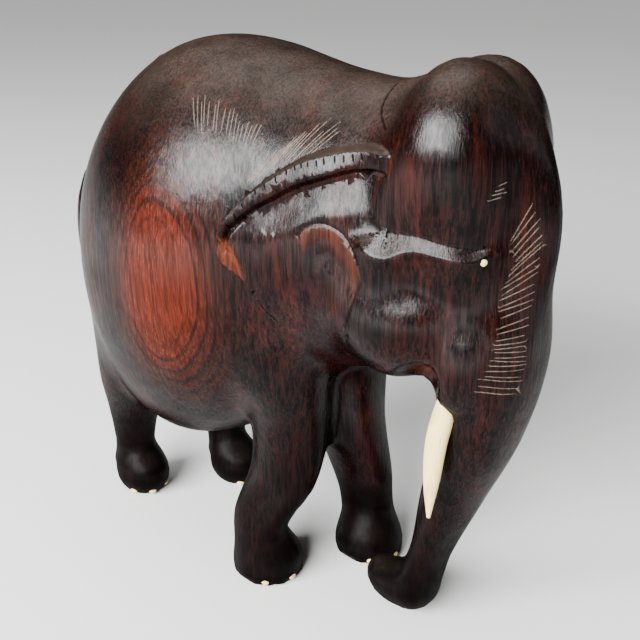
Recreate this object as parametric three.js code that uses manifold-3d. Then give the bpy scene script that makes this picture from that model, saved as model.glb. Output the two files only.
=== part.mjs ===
// A standing elephant carved from one block of rosewood, with bone tusks, eyes and toenails set into it.
// Millimetres, +X towards the trunk, +Y the elephant's left, +Z up, the soles of the feet on z = 0.
// The wood is one smooth body: a distance field built from named forms, turned into triangles here.

import * as THREE from 'three';
import { mergeVertices } from 'three/addons/utils/BufferGeometryUtils.js';
import Module from 'manifold-3d';

// Driving dimensions
const CENTRE_X = 24.34; // where the middle of the carving's length falls in the modelling frame
const INLAY_GAP = 0.35; // clearance between a bone inlay and its socket

// Torso: width and heights at stations along the length, rump to chest
const TORSO = {
  middle: -21.5,
  rumpLength: 108.5,
  chestLength: 123.5,
  rumpFlatness: 2.1,
  chestFlatness: 2,
  squareness: 2.1,
  station: [-145, -95.5, -46, 3, 52.5, 102],
  halfWidth: [63.5, 70.5, 76, 76.5, 66.5, 50.5],
  axisHeight: [174, 169.5, 169.5, 175.5, 188, 192],
  above: [94, 110, 121, 120, 113.5, 103],
  below: [113.5, 115, 115.5, 103.5, 82, 72.5],
};

// Ellipsoids, each with centre, half sizes and pitch; those off the middle are a mirrored pair
const NECK = { centre: [89, 0, 214], half: [55.5, 44, 66], pitch: 0.04 };
const SKULL = { centre: [126, 0, 225], half: [52.5, 16, 63], pitch: -0.05 };
const DOME = { centre: [131.5, 12.5, 250], half: [28.5, 28.5, 44], pitch: -0.09 };
const CHEEK = { centre: [116.5, 24, 183.5], half: [28.5, 24.5, 31.5], pitch: 0 };
const SHEATH = { centre: [150.5, 24, 163], half: [10, 9.5, 18], pitch: -0.1 };
const MOUTH = { centre: [135.5, 31, 157.5], half: [7, 8, 6], pitch: 0 };

// Legs and trunk: elliptical sections by height, "along" being the centre's x and "aside" its distance from y = 0
const FRONT_LEG = {
  height: [22, 36, 62, 95, 135, 180],
  along: [45.5, 45, 49.5, 46.5, 41, 35.5],
  aside: [32, 30, 20.5, 16.5, 22.5, 21],
  halfLength: [12.5, 18.5, 22.5, 24, 26.5, 19],
  halfWidth: [16.5, 12.5, 13, 20, 25, 19],
  stride: [1, 0.9, 0.7, 0.4, 0.1, 0],
  foot: { centre: [49.5, 28, 4.5], half: [20.5, 20, 20.5], pitch: 0 },
  nailHeading: 0.02,
};
const REAR_LEG = {
  height: [20, 34, 58, 90, 130, 175],
  along: [-77, -79, -78.5, -74, -64.5, -53.5],
  aside: [25, 25.5, 27, 30.5, 29.5, 25],
  halfLength: [13.5, 14, 17, 25.5, 37, 26.5],
  halfWidth: [13, 12, 15.5, 21.5, 27.5, 19],
  stride: [1, 0.9, 0.7, 0.35, 0, 0],
  foot: { centre: [-71, 25.5, 12], half: [19.5, 16, 17], pitch: 0 },
  nailHeading: 0.28,
};
const STEP = { frontRight: -14, frontLeft: 16, rearRight: -15.5, rearLeft: 21 };
const TRUNK = {
  height: [5, 18, 44, 82, 125, 170, 215, 255],
  along: [108.5, 119, 128.5, 138.5, 150, 154, 142, 128.5],
  aside: [0, 0, 0, 0, 0, 0, 0, 0],
  halfLength: [12.5, 13.5, 10.5, 15, 20, 23, 22.5, 24],
  halfWidth: [7.5, 11, 13.5, 18.5, 24, 27.5, 28.5, 25.5],
};
const TRUNK_TIP = { from: [120, 0, 18], to: [92, 0, 22], radius: [12.5, 7.5] };
const TRUNK_NOTCH = { centre: [101.5, 0, 30], half: [5, 14, 6], pitch: 0.3 };
// The path's first values are shares of the rump's length behind the torso's middle
const TAIL = {
  path: [[0.484, 0, 270], [0.719, -2, 250], [0.839, -9, 232], [0.908, -21, 211], [0.926, -29, 190], [0.926, -31, 163], [0.889, -28.5, 136], [0.802, -27, 112]],
  radius: [9, 8, 6.2, 5.4, 5.4, 5.2, 4.8, 2.6],
  sides: 7,
  rings: 10,
};

// How softly neighbouring forms flow into each other
const BLEND = { neck: 40, frontLeg: 12, rearLeg: 7.5, foot: 5, dome: 16, cheek: 16, trunk: 20, tip: 8, head: 14 };

// Ear, carved in low relief: its outline in side view as x and z, and the heights of its parts
const EAR = {
  rimTop: [[118, 257], [104, 258], [94, 256], [86, 252.5], [77, 249], [68, 243], [58, 236], [49, 228], [42, 219], [37, 211], [33.5, 203]],
  back: [[36, 197], [43, 191], [51, 183], [58, 175], [67, 166], [77, 158]],
  flap: [[90, 154], [97, 162], [104, 173], [109.5, 185], [112, 196], [110.5, 205], [106, 213], [101, 219]],
  temple: [[104, 232], [112, 245]],
  height: 4.5,
  edge: 6.5,
  rimWidth: [5.5, 4.8, 3],
  rimHeight: 2.6,
  flapRoll: 1.8,
};

// Brow: a ledge over the eye, as x and z in side view
const BROW = {
  line: [[100, 226], [107, 221], [113, 216], [120, 214], [127, 216.5], [134, 219.5], [142, 219.5], [150, 217.5], [157, 216], [162, 222], [166, 232]],
  ledge: 2.6,
  hollow: 2.4,
  ledgeDepth: 20,
  hollowDepth: 16,
};

// Bone inlays
const TUSK = {
  path: [[150, 24, 162], [147, 25, 147], [144.2, 27, 127.5], [144.7, 29.5, 107.5], [145.4, 30.5, 88]],
  halfLength: [4, 5.2, 5.9, 4.4, 0.9],
  halfWidth: [3.6, 4.4, 4.6, 3.6, 0.8],
  sides: 10,
  rings: 9,
};
const EYE = { centre: [158.5, 25.8, 217], radius: 2.4, length: 7, facing: [0.55, 0.78, 0.1] };
const NAIL = { half: [1.5, 3.2, 2.3], sunk: 0.45, height: 3.8, spread: [-0.85, 0, 0.85] };

// Grid on which the field is sampled, finer where the carving is: each row is a start and a spacing
const BODY = {
  rear: TORSO.middle - TORSO.rumpLength - 30,
  front: Math.max(...TRUNK.along) + Math.max(...TRUNK.halfLength) + 18,
  side: Math.max(...TORSO.halfWidth) + 18.5,
  top: Math.max(...TORSO.axisHeight.map((h, i) => h + TORSO.above[i]), DOME.centre[2] + DOME.half[2]) + 18,
  bottom: FRONT_LEG.foot.centre[2] - FRONT_LEG.foot.half[2] - 12,
};
const GRID = {
  x: [[BODY.rear, 15], [26, 7], [120, 8.5], [BODY.front, 0]],
  y: [[-BODY.side, 12], [-40, 8.6], [40, 12], [BODY.side, 0]],
  z: [[BODY.bottom, 7], [42, 13.5], [152, 7], [261, 10], [BODY.top, 0]],
};

const smoothMin = (a, b, k) => {
  const h = Math.max(k - Math.abs(a - b), 0) / k;
  return Math.min(a, b) - h * h * k * 0.25;
};
const smoothMax = (a, b, k) => -smoothMin(-a, -b, k);
const smoothStep = (from, to, v) => {
  const t = Math.min(Math.max((v - from) / (to - from), 0), 1);
  return t * t * (3 - 2 * t);
};

// A curve through values at given knots, held at both ends
function spline(t, knots, values) {
  const last = knots.length - 1;
  const u = Math.min(Math.max(t, knots[0]), knots[last]);
  let i = 0;
  while (i < last - 1 && u >= knots[i + 1]) i += 1;
  const slope = (k) => {
    const a = Math.max(k - 1, 0);
    const b = Math.min(k + 1, last);
    return (values[b] - values[a]) / (knots[b] - knots[a]);
  };
  const h = knots[i + 1] - knots[i];
  const s = (u - knots[i]) / h;
  const s2 = s * s;
  const s3 = s2 * s;
  return (2 * s3 - 3 * s2 + 1) * values[i] + (s3 - 2 * s2 + s) * h * slope(i)
    + (3 * s2 - 2 * s3) * values[i + 1] + (s3 - s2) * h * slope(i + 1);
}

// Distance to an ellipsoid; side 1 or -1 mirrors a pair
function ellipsoid(x, y, z, { centre, half, pitch }, side = 1, shift = 0) {
  let dx = x - centre[0] - shift;
  const dy = y - side * centre[1];
  let dz = z - centre[2];
  if (pitch) {
    const c = Math.cos(pitch);
    const s = Math.sin(pitch);
    [dx, dz] = [c * dx + s * dz, c * dz - s * dx];
  }
  const k = Math.hypot(dx / half[0], dy / half[1], dz / half[2]) + 1e-9;
  const g = Math.hypot(dx / half[0] ** 2, dy / half[1] ** 2, dz / half[2] ** 2) + 1e-9;
  return (k * (k - 1)) / g;
}

// Distance to a tapered round bar
function bar(x, y, z, a, b, ra, rb) {
  const ab = [b[0] - a[0], b[1] - a[1], b[2] - a[2]];
  const along = (x - a[0]) * ab[0] + (y - a[1]) * ab[1] + (z - a[2]) * ab[2];
  const t = Math.min(Math.max(along / (ab[0] ** 2 + ab[1] ** 2 + ab[2] ** 2), 0), 1);
  return Math.hypot(x - a[0] - t * ab[0], y - a[1] - t * ab[1], z - a[2] - t * ab[2]) - ra - (rb - ra) * t;
}

// Distance to an upright form of elliptical sections
function column(x, y, z, form, side = 1, step = 0) {
  const cx = spline(z, form.height, form.along) + (step ? step * spline(z, form.height, form.stride) : 0);
  const cy = side * spline(z, form.height, form.aside);
  const a = spline(z, form.height, form.halfLength);
  const b = spline(z, form.height, form.halfWidth);
  const k = Math.hypot((x - cx) / a, (y - cy) / b) + 1e-9;
  const g = Math.hypot((x - cx) / a ** 2, (y - cy) / b ** 2) + 1e-9;
  const flat = (k * (k - 1)) / g;
  const beyond = Math.max(z - form.height.at(-1), form.height[0] - z, 0);
  return beyond > 0 ? Math.hypot(Math.max(flat, 0), beyond) : flat;
}

function torso(x, y, z) {
  const flatness = x < TORSO.middle ? TORSO.rumpFlatness : TORSO.chestFlatness;
  const length = x < TORSO.middle ? TORSO.rumpLength : TORSO.chestLength;
  const u = Math.abs(x - TORSO.middle) / length;
  const width = spline(x, TORSO.station, TORSO.halfWidth);
  const dz = z - spline(x, TORSO.station, TORSO.axisHeight);
  const height = spline(x, TORSO.station, dz > 0 ? TORSO.above : TORSO.below);
  const m = TORSO.squareness;
  const [v, w] = [Math.abs(y) / width, Math.abs(dz) / height];
  const q = (v ** m + w ** m) ** (1 / m) + 1e-9;
  const k = (u ** flatness + q ** flatness) ** (1 / flatness) + 1e-9;
  const slope = Math.hypot(v ** (m - 1) / width, w ** (m - 1) / height) * q ** (1 - m);
  const g = Math.hypot(u ** (flatness - 1) / length, q ** (flatness - 1) * slope) * k ** (1 - flatness) + 1e-9;
  return (k - 1) / g;
}

function leg(x, y, z, form, side, step) {
  const shaft = column(x, y, z, form, side, step);
  return smoothMin(shaft, ellipsoid(x, y, z, form.foot, side, step), BLEND.foot);
}

// Distance in side view from a point to a line of points, positive on its left, with the share along it
function alongLine(points, x, z) {
  let best = { distance: Infinity, side: 1, share: 0 };
  for (let i = 0; i < points.length - 1; i += 1) {
    const [ax, az] = points[i];
    const [bx, bz] = points[i + 1];
    const dx = bx - ax;
    const dz = bz - az;
    const t = Math.min(Math.max(((x - ax) * dx + (z - az) * dz) / (dx * dx + dz * dz), 0), 1);
    const distance = Math.hypot(x - ax - t * dx, z - az - t * dz);
    if (distance < best.distance) {
      best = { distance, side: dx * (z - az) - dz * (x - ax) > 0 ? 1 : -1, share: (i + t) / (points.length - 1) };
    }
  }
  return best;
}

function isInside(points, x, z) {
  let inside = false;
  for (let i = 0, j = points.length - 1; i < points.length; j = i, i += 1) {
    const [ax, az] = points[i];
    const [bx, bz] = points[j];
    if (az > z !== bz > z && x < ((bx - ax) * (z - az)) / (bz - az) + ax) inside = !inside;
  }
  return inside;
}

const earOutline = [...EAR.rimTop, ...EAR.back, ...EAR.flap, ...EAR.temple];
const earEdge = [...EAR.rimTop, ...EAR.back, ...EAR.flap];

// Height of the ear over the side of the head and shoulder
function earRelief(x, z) {
  if (x < 20 || x > 132 || z < 140 || z > 272) return 0;
  const edge = alongLine(earEdge, x, z);
  const inside = isInside(earOutline, x, z) ? 1 : -1;
  const temple = smoothStep(38, 8, Math.hypot(x - 110, z - 238));
  const height = EAR.height * smoothStep(-EAR.edge * 0.5, EAR.edge * 0.5, inside * edge.distance);
  let rise = height * (1 - 0.75 * temple);
  const rim = alongLine(EAR.rimTop, x, z);
  const width = spline(rim.share, [0, 0.6, 1], EAR.rimWidth);
  const across = (inside * rim.distance - width) / width;
  rise += EAR.rimHeight * Math.max(1 - across * across, 0) * smoothStep(1, 0.8, rim.share);
  const flap = alongLine(EAR.flap, x, z);
  rise += EAR.flapRoll * Math.exp(-(((inside * flap.distance - 3.5) / 3.5) ** 2));
  return rise;
}

// Rise of the brow over its lower edge and the hollow under it
function browRelief(x, z) {
  if (x < 95 || x > 172 || z < 190 || z > 262) return 0;
  const line = alongLine(BROW.line, x, z);
  const ends = smoothStep(0, 0.15, line.share) * smoothStep(1, 0.9, line.share);
  const above = line.side * line.distance;
  const ledge = BROW.ledge * smoothStep(-1.5, 2.5, above) * smoothStep(BROW.ledgeDepth, 3, above);
  const hollow = BROW.hollow * smoothStep(1.5, -2.5, above) * smoothStep(-BROW.hollowDepth, -3, above);
  return ends * (ledge - hollow);
}

// Distance to the smooth forms together, below zero inside them
function forms(x, y, z) {
  const side = Math.abs(y);
  let body = smoothMin(torso(x, y, z), ellipsoid(x, y, z, NECK), BLEND.neck);
  body = smoothMin(body, leg(x, y, z, FRONT_LEG, -1, STEP.frontRight), BLEND.frontLeg);
  body = smoothMin(body, leg(x, y, z, FRONT_LEG, 1, STEP.frontLeft), BLEND.frontLeg);
  body = smoothMin(body, leg(x, y, z, REAR_LEG, -1, STEP.rearRight), BLEND.rearLeg);
  body = smoothMin(body, leg(x, y, z, REAR_LEG, 1, STEP.rearLeft), BLEND.rearLeg);
  let head = smoothMin(ellipsoid(x, y, z, SKULL), ellipsoid(x, side, z, DOME), BLEND.dome);
  head = smoothMin(head, ellipsoid(x, side, z, CHEEK), BLEND.cheek);
  head = smoothMin(head, column(x, y, z, TRUNK), BLEND.trunk);
  head = smoothMin(head, ellipsoid(x, side, z, SHEATH), BLEND.tip);
  head = smoothMax(head, -ellipsoid(x, side, z, MOUTH), BLEND.tip);
  const tip = bar(x, y, z, TRUNK_TIP.from, TRUNK_TIP.to, ...TRUNK_TIP.radius);
  head = smoothMin(head, tip, BLEND.tip);
  head = smoothMax(head, -ellipsoid(x, y, z, TRUNK_NOTCH), 3);
  body = smoothMin(body, head, BLEND.head);
  return body;
}

// Distance to the carved surface, the ears and brows raised from the forms
function carving(x, y, z) {
  const side = Math.abs(y);
  const body = forms(x, y, z);
  if (side < 12) return body;
  return body - earRelief(x, z) - browRelief(x, z) * smoothStep(12, 20, side);
}

function ticks(rows) {
  const out = [];
  for (let i = 0; i < rows.length - 1; i += 1) {
    const [start, spacing] = rows[i];
    const span = rows[i + 1][0] - start;
    const count = Math.round(span / spacing);
    for (let k = 0; k < count; k += 1) out.push(start + (span * k) / count);
  }
  out.push(rows.at(-1)[0]);
  return out;
}

// Nearest point of the field's zero surface, by a few steps down its slope
function settle(field, p, steps = 4) {
  const e = 0.25;
  let [x, y, z] = p;
  for (let i = 0; i < steps; i += 1) {
    const value = field(x, y, z);
    const gx = (field(x + e, y, z) - field(x - e, y, z)) / (2 * e);
    const gy = (field(x, y + e, z) - field(x, y - e, z)) / (2 * e);
    const gz = (field(x, y, z + e) - field(x, y, z - e)) / (2 * e);
    const scale = value / Math.max(gx * gx + gy * gy + gz * gz, 0.2);
    const reach = Math.min(1, 2 / (Math.abs(scale) * Math.hypot(gx, gy, gz) + 1e-9));
    x -= gx * scale * reach;
    y -= gy * scale * reach;
    z -= gz * scale * reach;
  }
  return [x, y, z];
}

// Closed mesh: one vertex in each grid cell that the smooth forms cross, settled on the carved surface
function skin(smooth, carved, grid) {
  const [xs, ys, zs] = [ticks(grid.x), ticks(grid.y), ticks(grid.z)];
  const [nx, ny, nz] = [xs.length, ys.length, zs.length];
  const at = (i, j, k) => (i * ny + j) * nz + k;
  const value = new Float64Array(nx * ny * nz);
  for (let i = 0; i < nx; i += 1) {
    for (let j = 0; j < ny; j += 1) {
      for (let k = 0; k < nz; k += 1) value[at(i, j, k)] = smooth(xs[i], ys[j], zs[k]) || 1e-6;
    }
  }
  const corners = [0, 1, 2, 3, 4, 5, 6, 7].map((c) => [c & 1, (c >> 1) & 1, (c >> 2) & 1]);
  const edges = [[0, 1], [2, 3], [4, 5], [6, 7], [0, 2], [1, 3], [4, 6], [5, 7], [0, 4], [1, 5], [2, 6], [3, 7]];
  const cell = new Map();
  const points = [];
  const cellVertex = (i, j, k) => {
    const key = at(i, j, k);
    if (cell.has(key)) return cell.get(key);
    const sum = [0, 0, 0];
    let count = 0;
    for (const [a, b] of edges) {
      const [pa, pb] = [corners[a], corners[b]];
      const va = value[at(i + pa[0], j + pa[1], k + pa[2])];
      const vb = value[at(i + pb[0], j + pb[1], k + pb[2])];
      if (va < 0 === vb < 0) continue;
      const t = va / (va - vb);
      sum[0] += xs[i + pa[0]] + t * (xs[i + pb[0]] - xs[i + pa[0]]);
      sum[1] += ys[j + pa[1]] + t * (ys[j + pb[1]] - ys[j + pa[1]]);
      sum[2] += zs[k + pa[2]] + t * (zs[k + pb[2]] - zs[k + pa[2]]);
      count += 1;
    }
    points.push(settle(carved, settle(smooth, sum.map((s) => s / count))));
    cell.set(key, points.length - 1);
    return points.length - 1;
  };
  const faces = [];
  const quad = (a, b, c, d, flip) => {
    const length = (p, q) => Math.hypot(points[p][0] - points[q][0], points[p][1] - points[q][1], points[p][2] - points[q][2]);
    const [p, q, r, s] = flip ? [d, c, b, a] : [a, b, c, d];
    if (length(p, r) <= length(q, s)) faces.push([p, q, r], [p, r, s]);
    else faces.push([p, q, s], [q, r, s]);
  };
  for (let i = 1; i < nx - 1; i += 1) {
    for (let j = 1; j < ny - 1; j += 1) {
      for (let k = 1; k < nz - 1; k += 1) {
        const here = value[at(i, j, k)] < 0;
        if (here !== value[at(i + 1, j, k)] < 0) {
          quad(cellVertex(i, j - 1, k - 1), cellVertex(i, j, k - 1), cellVertex(i, j, k), cellVertex(i, j - 1, k), !here);
        }
        if (here !== value[at(i, j + 1, k)] < 0) {
          quad(cellVertex(i - 1, j, k - 1), cellVertex(i - 1, j, k), cellVertex(i, j, k), cellVertex(i, j, k - 1), !here);
        }
        if (here !== value[at(i, j, k + 1)] < 0) {
          quad(cellVertex(i - 1, j - 1, k), cellVertex(i, j - 1, k), cellVertex(i, j, k), cellVertex(i - 1, j, k), !here);
        }
      }
    }
  }
  const geometry = new THREE.BufferGeometry();
  geometry.setAttribute('position', new THREE.Float32BufferAttribute(points.flat(), 3));
  geometry.setIndex(faces.flat());
  return geometry;
}

// Level elliptical rings down a curve, closed at both ends: a horn or a tail hanging from its root
function hanging({ path, halfLength, halfWidth, sides, rings }, side, grow = 0) {
  const share = path.map((_, i) => i / (path.length - 1));
  const positions = [];
  const index = [];
  for (let r = 0; r <= rings; r += 1) {
    const t = r / rings;
    const centre = [0, 1, 2].map((axis) => spline(t, share, path.map((p) => p[axis])));
    const a = spline(t, share, halfLength) + grow;
    const b = spline(t, share, halfWidth) + grow;
    const lift = t === 0 ? grow : 0;
    for (let s = 0; s < sides; s += 1) {
      const angle = (2 * Math.PI * s) / sides;
      positions.push(centre[0] + a * Math.cos(angle), side * (centre[1] + b * Math.sin(angle)), centre[2] + lift);
    }
  }
  const triangle = (a, b, c) => index.push(...(side > 0 ? [a, c, b] : [a, b, c]));
  for (let r = 0; r < rings; r += 1) {
    for (let s = 0; s < sides; s += 1) {
      const [a, b] = [r * sides + s, r * sides + ((s + 1) % sides)];
      triangle(a, b, a + sides);
      triangle(b, b + sides, a + sides);
    }
  }
  const root = positions.length / 3;
  const end = path.at(-1);
  positions.push(path[0][0], side * path[0][1], path[0][2] + grow, end[0], side * end[1], end[2] - 0.6);
  for (let s = 0; s < sides; s += 1) {
    triangle(root, (s + 1) % sides, s);
    triangle(root + 1, rings * sides + s, rings * sides + ((s + 1) % sides));
  }
  const geometry = new THREE.BufferGeometry();
  geometry.setAttribute('position', new THREE.Float32BufferAttribute(positions, 3));
  geometry.setIndex(index);
  return geometry;
}

const tuskGeometry = (side, grow) => hanging(TUSK, side, grow);

// The tail lies on the rump, so it is laid out by shares of the rump's length
function tailGeometry() {
  const path = TAIL.path.map(([share, y, z]) => [TORSO.middle - share * TORSO.rumpLength, y, z]);
  return hanging({ ...TAIL, path, halfLength: TAIL.radius, halfWidth: TAIL.radius }, 1);
}

// Eye: a short round peg, its outer end domed, pointing along EYE.facing
function eyeGeometry(side, grow = 0) {
  const { radius, length } = EYE;
  const r = radius + grow;
  const profile = [[0, -length - grow], [r, -length - grow], [r, 0], [r * 0.8, radius * 0.3], [r * 0.42, radius * 0.5], [0, radius * 0.56 + grow]];
  const geometry = new THREE.LatheGeometry(profile.map(([u, v]) => new THREE.Vector2(u, v)), 12);
  const facing = new THREE.Vector3(EYE.facing[0], side * EYE.facing[1], EYE.facing[2]).normalize();
  const turn = new THREE.Quaternion().setFromUnitVectors(new THREE.Vector3(0, 1, 0), facing);
  geometry.applyQuaternion(turn);
  geometry.translate(EYE.centre[0], side * EYE.centre[1], EYE.centre[2]);
  return geometry;
}

// Toenail: a small oval pebble of bone, half sunk in the front of the foot
function nailGeometry(place, grow = 0) {
  const [a, b, c] = NAIL.half.map((v) => v + grow);
  const geometry = new THREE.SphereGeometry(1, 8, 4);
  geometry.rotateX(Math.PI / 2);
  geometry.scale(a, b, c);
  geometry.rotateZ(place.turn);
  geometry.translate(...place.centre);
  return geometry;
}

function nailPlaces(form, side, step) {
  return NAIL.spread.map((spread) => {
    const turn = side * form.nailHeading + spread;
    const [cx, cy] = [form.foot.centre[0] + step, side * form.foot.centre[1]];
    let reach = 0;
    while (carving(cx + reach * Math.cos(turn), cy + reach * Math.sin(turn), NAIL.height) < 0) reach += 0.05;
    reach -= NAIL.half[0] * NAIL.sunk;
    return { turn, centre: [cx + reach * Math.cos(turn), cy + reach * Math.sin(turn), NAIL.height] };
  });
}

// Boolean work
const wasm = await Module();
wasm.setup();

function solid(geometry) {
  const bare = geometry.index ? geometry.toNonIndexed() : geometry.clone();
  bare.deleteAttribute('normal');
  bare.deleteAttribute('uv');
  const merged = mergeVertices(bare, 1e-4);
  return new wasm.Manifold(new wasm.Mesh({
    numProp: 3,
    vertProperties: new Float32Array(merged.attributes.position.array),
    triVerts: new Uint32Array(merged.index.array),
  }));
}

function meshOf(manifold) {
  const { vertProperties, triVerts } = manifold.getMesh();
  const geometry = new THREE.BufferGeometry();
  geometry.setAttribute('position', new THREE.BufferAttribute(new Float32Array(vertProperties), 3));
  geometry.setIndex([...triVerts]);
  geometry.computeVertexNormals();
  return geometry;
}

// The carving, its soles cut flat and its sockets cut out
const nails = {
  front_right: nailPlaces(FRONT_LEG, -1, STEP.frontRight),
  front_left: nailPlaces(FRONT_LEG, 1, STEP.frontLeft),
  rear_right: nailPlaces(REAR_LEG, -1, STEP.rearRight),
  rear_left: nailPlaces(REAR_LEG, 1, STEP.rearLeft),
};
const ground = new THREE.BoxGeometry(500, 300, 60).translate(0, 0, -30);
let wood = solid(skin(forms, carving, GRID)).subtract(solid(ground)).add(solid(tailGeometry()));
for (const side of [-1, 1]) {
  wood = wood.subtract(solid(tuskGeometry(side, INLAY_GAP)));
  wood = wood.subtract(solid(eyeGeometry(side, INLAY_GAP)));
}
for (const places of Object.values(nails)) {
  for (const place of places) wood = wood.subtract(solid(nailGeometry(place, INLAY_GAP)));
}

const rosewood = new THREE.MeshStandardMaterial({ color: 0x3a1a12, roughness: 0.38, metalness: 0 });
const bone = new THREE.MeshStandardMaterial({ color: 0xe9dcb8, roughness: 0.42, metalness: 0 });

const elephant = new THREE.Group();
elephant.position.x = -CENTRE_X;

function place(name, geometry, material) {
  const mesh = new THREE.Mesh(geometry, material);
  mesh.name = name;
  elephant.add(mesh);
}

place('carving', meshOf(wood), rosewood);
for (const [name, side] of [['right', -1], ['left', 1]]) {
  place(`tusk_${name}`, tuskGeometry(side), bone);
  place(`eye_${name}`, eyeGeometry(side), bone);
}
for (const [foot, places] of Object.entries(nails)) {
  places.forEach((spot, i) => place(`nail_${foot}_${i + 1}`, nailGeometry(spot), bone));
}

export default elephant;
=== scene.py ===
"""A standing elephant carved from dark rosewood, with bone tusks, eyes and toenails, on a plain pale floor.

The wooden body is a distance field of named forms, the same ones as in the frame's solid. It is turned into a
mesh here, refined where the carving is fine, and carved with ear rims, brows, notches and engraved lines.
Lengths are millimetres in the carving's own frame until a mesh is handed to Blender.
"""

import logging
import math
from collections.abc import Callable, Sequence
from dataclasses import dataclass, field
from enum import Enum

import bpy
import numpy as np
from mathutils import Matrix, Vector


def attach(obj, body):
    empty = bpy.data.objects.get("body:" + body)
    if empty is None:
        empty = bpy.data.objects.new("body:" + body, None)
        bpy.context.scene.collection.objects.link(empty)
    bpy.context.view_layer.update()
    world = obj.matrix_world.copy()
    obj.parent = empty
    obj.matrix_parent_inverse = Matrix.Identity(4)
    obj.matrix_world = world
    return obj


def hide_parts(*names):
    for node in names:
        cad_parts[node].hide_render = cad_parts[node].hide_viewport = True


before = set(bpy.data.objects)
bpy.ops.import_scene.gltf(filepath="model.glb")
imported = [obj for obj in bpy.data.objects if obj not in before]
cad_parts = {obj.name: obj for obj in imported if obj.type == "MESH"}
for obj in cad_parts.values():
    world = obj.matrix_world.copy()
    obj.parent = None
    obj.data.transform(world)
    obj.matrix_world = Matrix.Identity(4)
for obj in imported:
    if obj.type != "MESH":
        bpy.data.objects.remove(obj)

Array = np.ndarray
Point = tuple[float, float, float]
Pair = tuple[float, float]
Colour = tuple[int, int, int]
Socket = bpy.types.NodeSocket

MM = 0.001
CENTRE_X = 24.34

log = logging.getLogger("elephant")


# Numbers and curves

def smooth_min(a: Array, b: Array, k: float) -> Array:
    """Smaller of two distances, rounded over k millimetres where they meet."""
    h = np.maximum(k - np.abs(a - b), 0.0) / k
    return np.minimum(a, b) - h * h * k * 0.25


def smooth_max(a: Array, b: Array, k: float) -> Array:
    """Larger of two distances, rounded over k millimetres where they meet."""
    return -smooth_min(-a, -b, k)


def smooth_step(low: float, high: float, v: Array) -> Array:
    """0 at low and beyond, 1 at high and beyond, easing in between."""
    t = np.clip((v - low) / (high - low), 0.0, 1.0)
    return t * t * (3.0 - 2.0 * t)


def spline(t: Array, knots: Sequence[float], values: Sequence[float]) -> Array:
    """Smooth curve through values at knots, held at both ends.

    Args:
        t: Where the curve is read.
        knots: Rising positions of the values.
        values: The curve's value at each knot.

    Returns:
        The curve's values at t.
    """
    k = np.asarray(knots, float)
    v = np.asarray(values, float)
    last = len(k) - 1
    u = np.clip(t, k[0], k[-1])
    i = np.clip(np.searchsorted(k, u, side="right") - 1, 0, last - 1)
    ahead = np.minimum(np.arange(last + 1) + 1, last)
    behind = np.maximum(np.arange(last + 1) - 1, 0)
    slope = (v[ahead] - v[behind]) / (k[ahead] - k[behind])
    h = k[i + 1] - k[i]
    s = (u - k[i]) / h
    s2 = s * s
    s3 = s2 * s
    start = (2 * s3 - 3 * s2 + 1) * v[i] + (s3 - 2 * s2 + s) * h * slope[i]
    return start + (3 * s2 - 2 * s3) * v[i + 1] + (s3 - s2) * h * slope[i + 1]


def through(points: Sequence[Sequence[float]], shares: Array) -> Array:
    """Smooth path through points, read at shares of its length from 0 to 1.

    Args:
        points: The path's points.
        shares: Where it is read.

    Returns:
        One point a row.
    """
    p = np.asarray(points, float)
    knots = np.linspace(0.0, 1.0, len(p))
    return np.stack([spline(shares, knots, p[:, c]) for c in range(p.shape[1])], axis=1)


def smoothed(points: Sequence[Pair], per: int = 3) -> list[Pair]:
    """The same line of points in side view with per steps between each two."""
    path = through(points, np.linspace(0.0, 1.0, (len(points) - 1) * per + 1))
    return [(float(x), float(z)) for x, z in path]


def along_line(points: Sequence[Pair], x: Array, z: Array) -> tuple[Array, Array, Array]:
    """Nearest place on a line of points in side view.

    Args:
        points: The line, as x and z.
        x: Places asked about.
        z: Places asked about.

    Returns:
        Distance, side (1 on the line's left, -1 on its right) and share along the line.
    """
    best = np.full(x.shape, np.inf)
    side = np.ones(x.shape)
    share = np.zeros(x.shape)
    count = len(points) - 1
    for i in range(count):
        ax, az = points[i]
        dx = points[i + 1][0] - ax
        dz = points[i + 1][1] - az
        t = np.clip(((x - ax) * dx + (z - az) * dz) / (dx * dx + dz * dz), 0.0, 1.0)
        distance = np.hypot(x - ax - t * dx, z - az - t * dz)
        near = distance < best
        best = np.where(near, distance, best)
        side = np.where(near, np.where(dx * (z - az) - dz * (x - ax) > 0, 1.0, -1.0), side)
        share = np.where(near, (i + t) / count, share)
    return best, side, share


def inside_outline(points: Sequence[Pair], x: Array, z: Array) -> Array:
    """1 inside a closed outline in side view and -1 outside it.

    Args:
        points: The outline, as x and z.
        x: Places along the elephant, forward.
        z: Heights.

    Returns:
        1 or -1 for each place.
    """
    inside = np.zeros(x.shape, bool)
    for (ax, az), (bx, bz) in zip(points, [points[-1], *points[:-1]]):
        if az != bz:
            inside ^= ((az > z) != (bz > z)) & (x < (bx - ax) * (z - az) / (bz - az) + ax)
    return np.where(inside, 1.0, -1.0)


# Forms

class Blend:
    """How widely neighbouring forms run into each other, in millimetres."""

    NECK = 40.0
    FOOT = 8.0
    DOME = 16.0
    CHEEK = 16.0
    TRUNK = 20.0
    SHEATH = 8.0
    TIP = 8.0
    NOTCH = 3.0
    HEAD = 14.0
    TAIL = 2.5
    SOLE = 1.2


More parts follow.
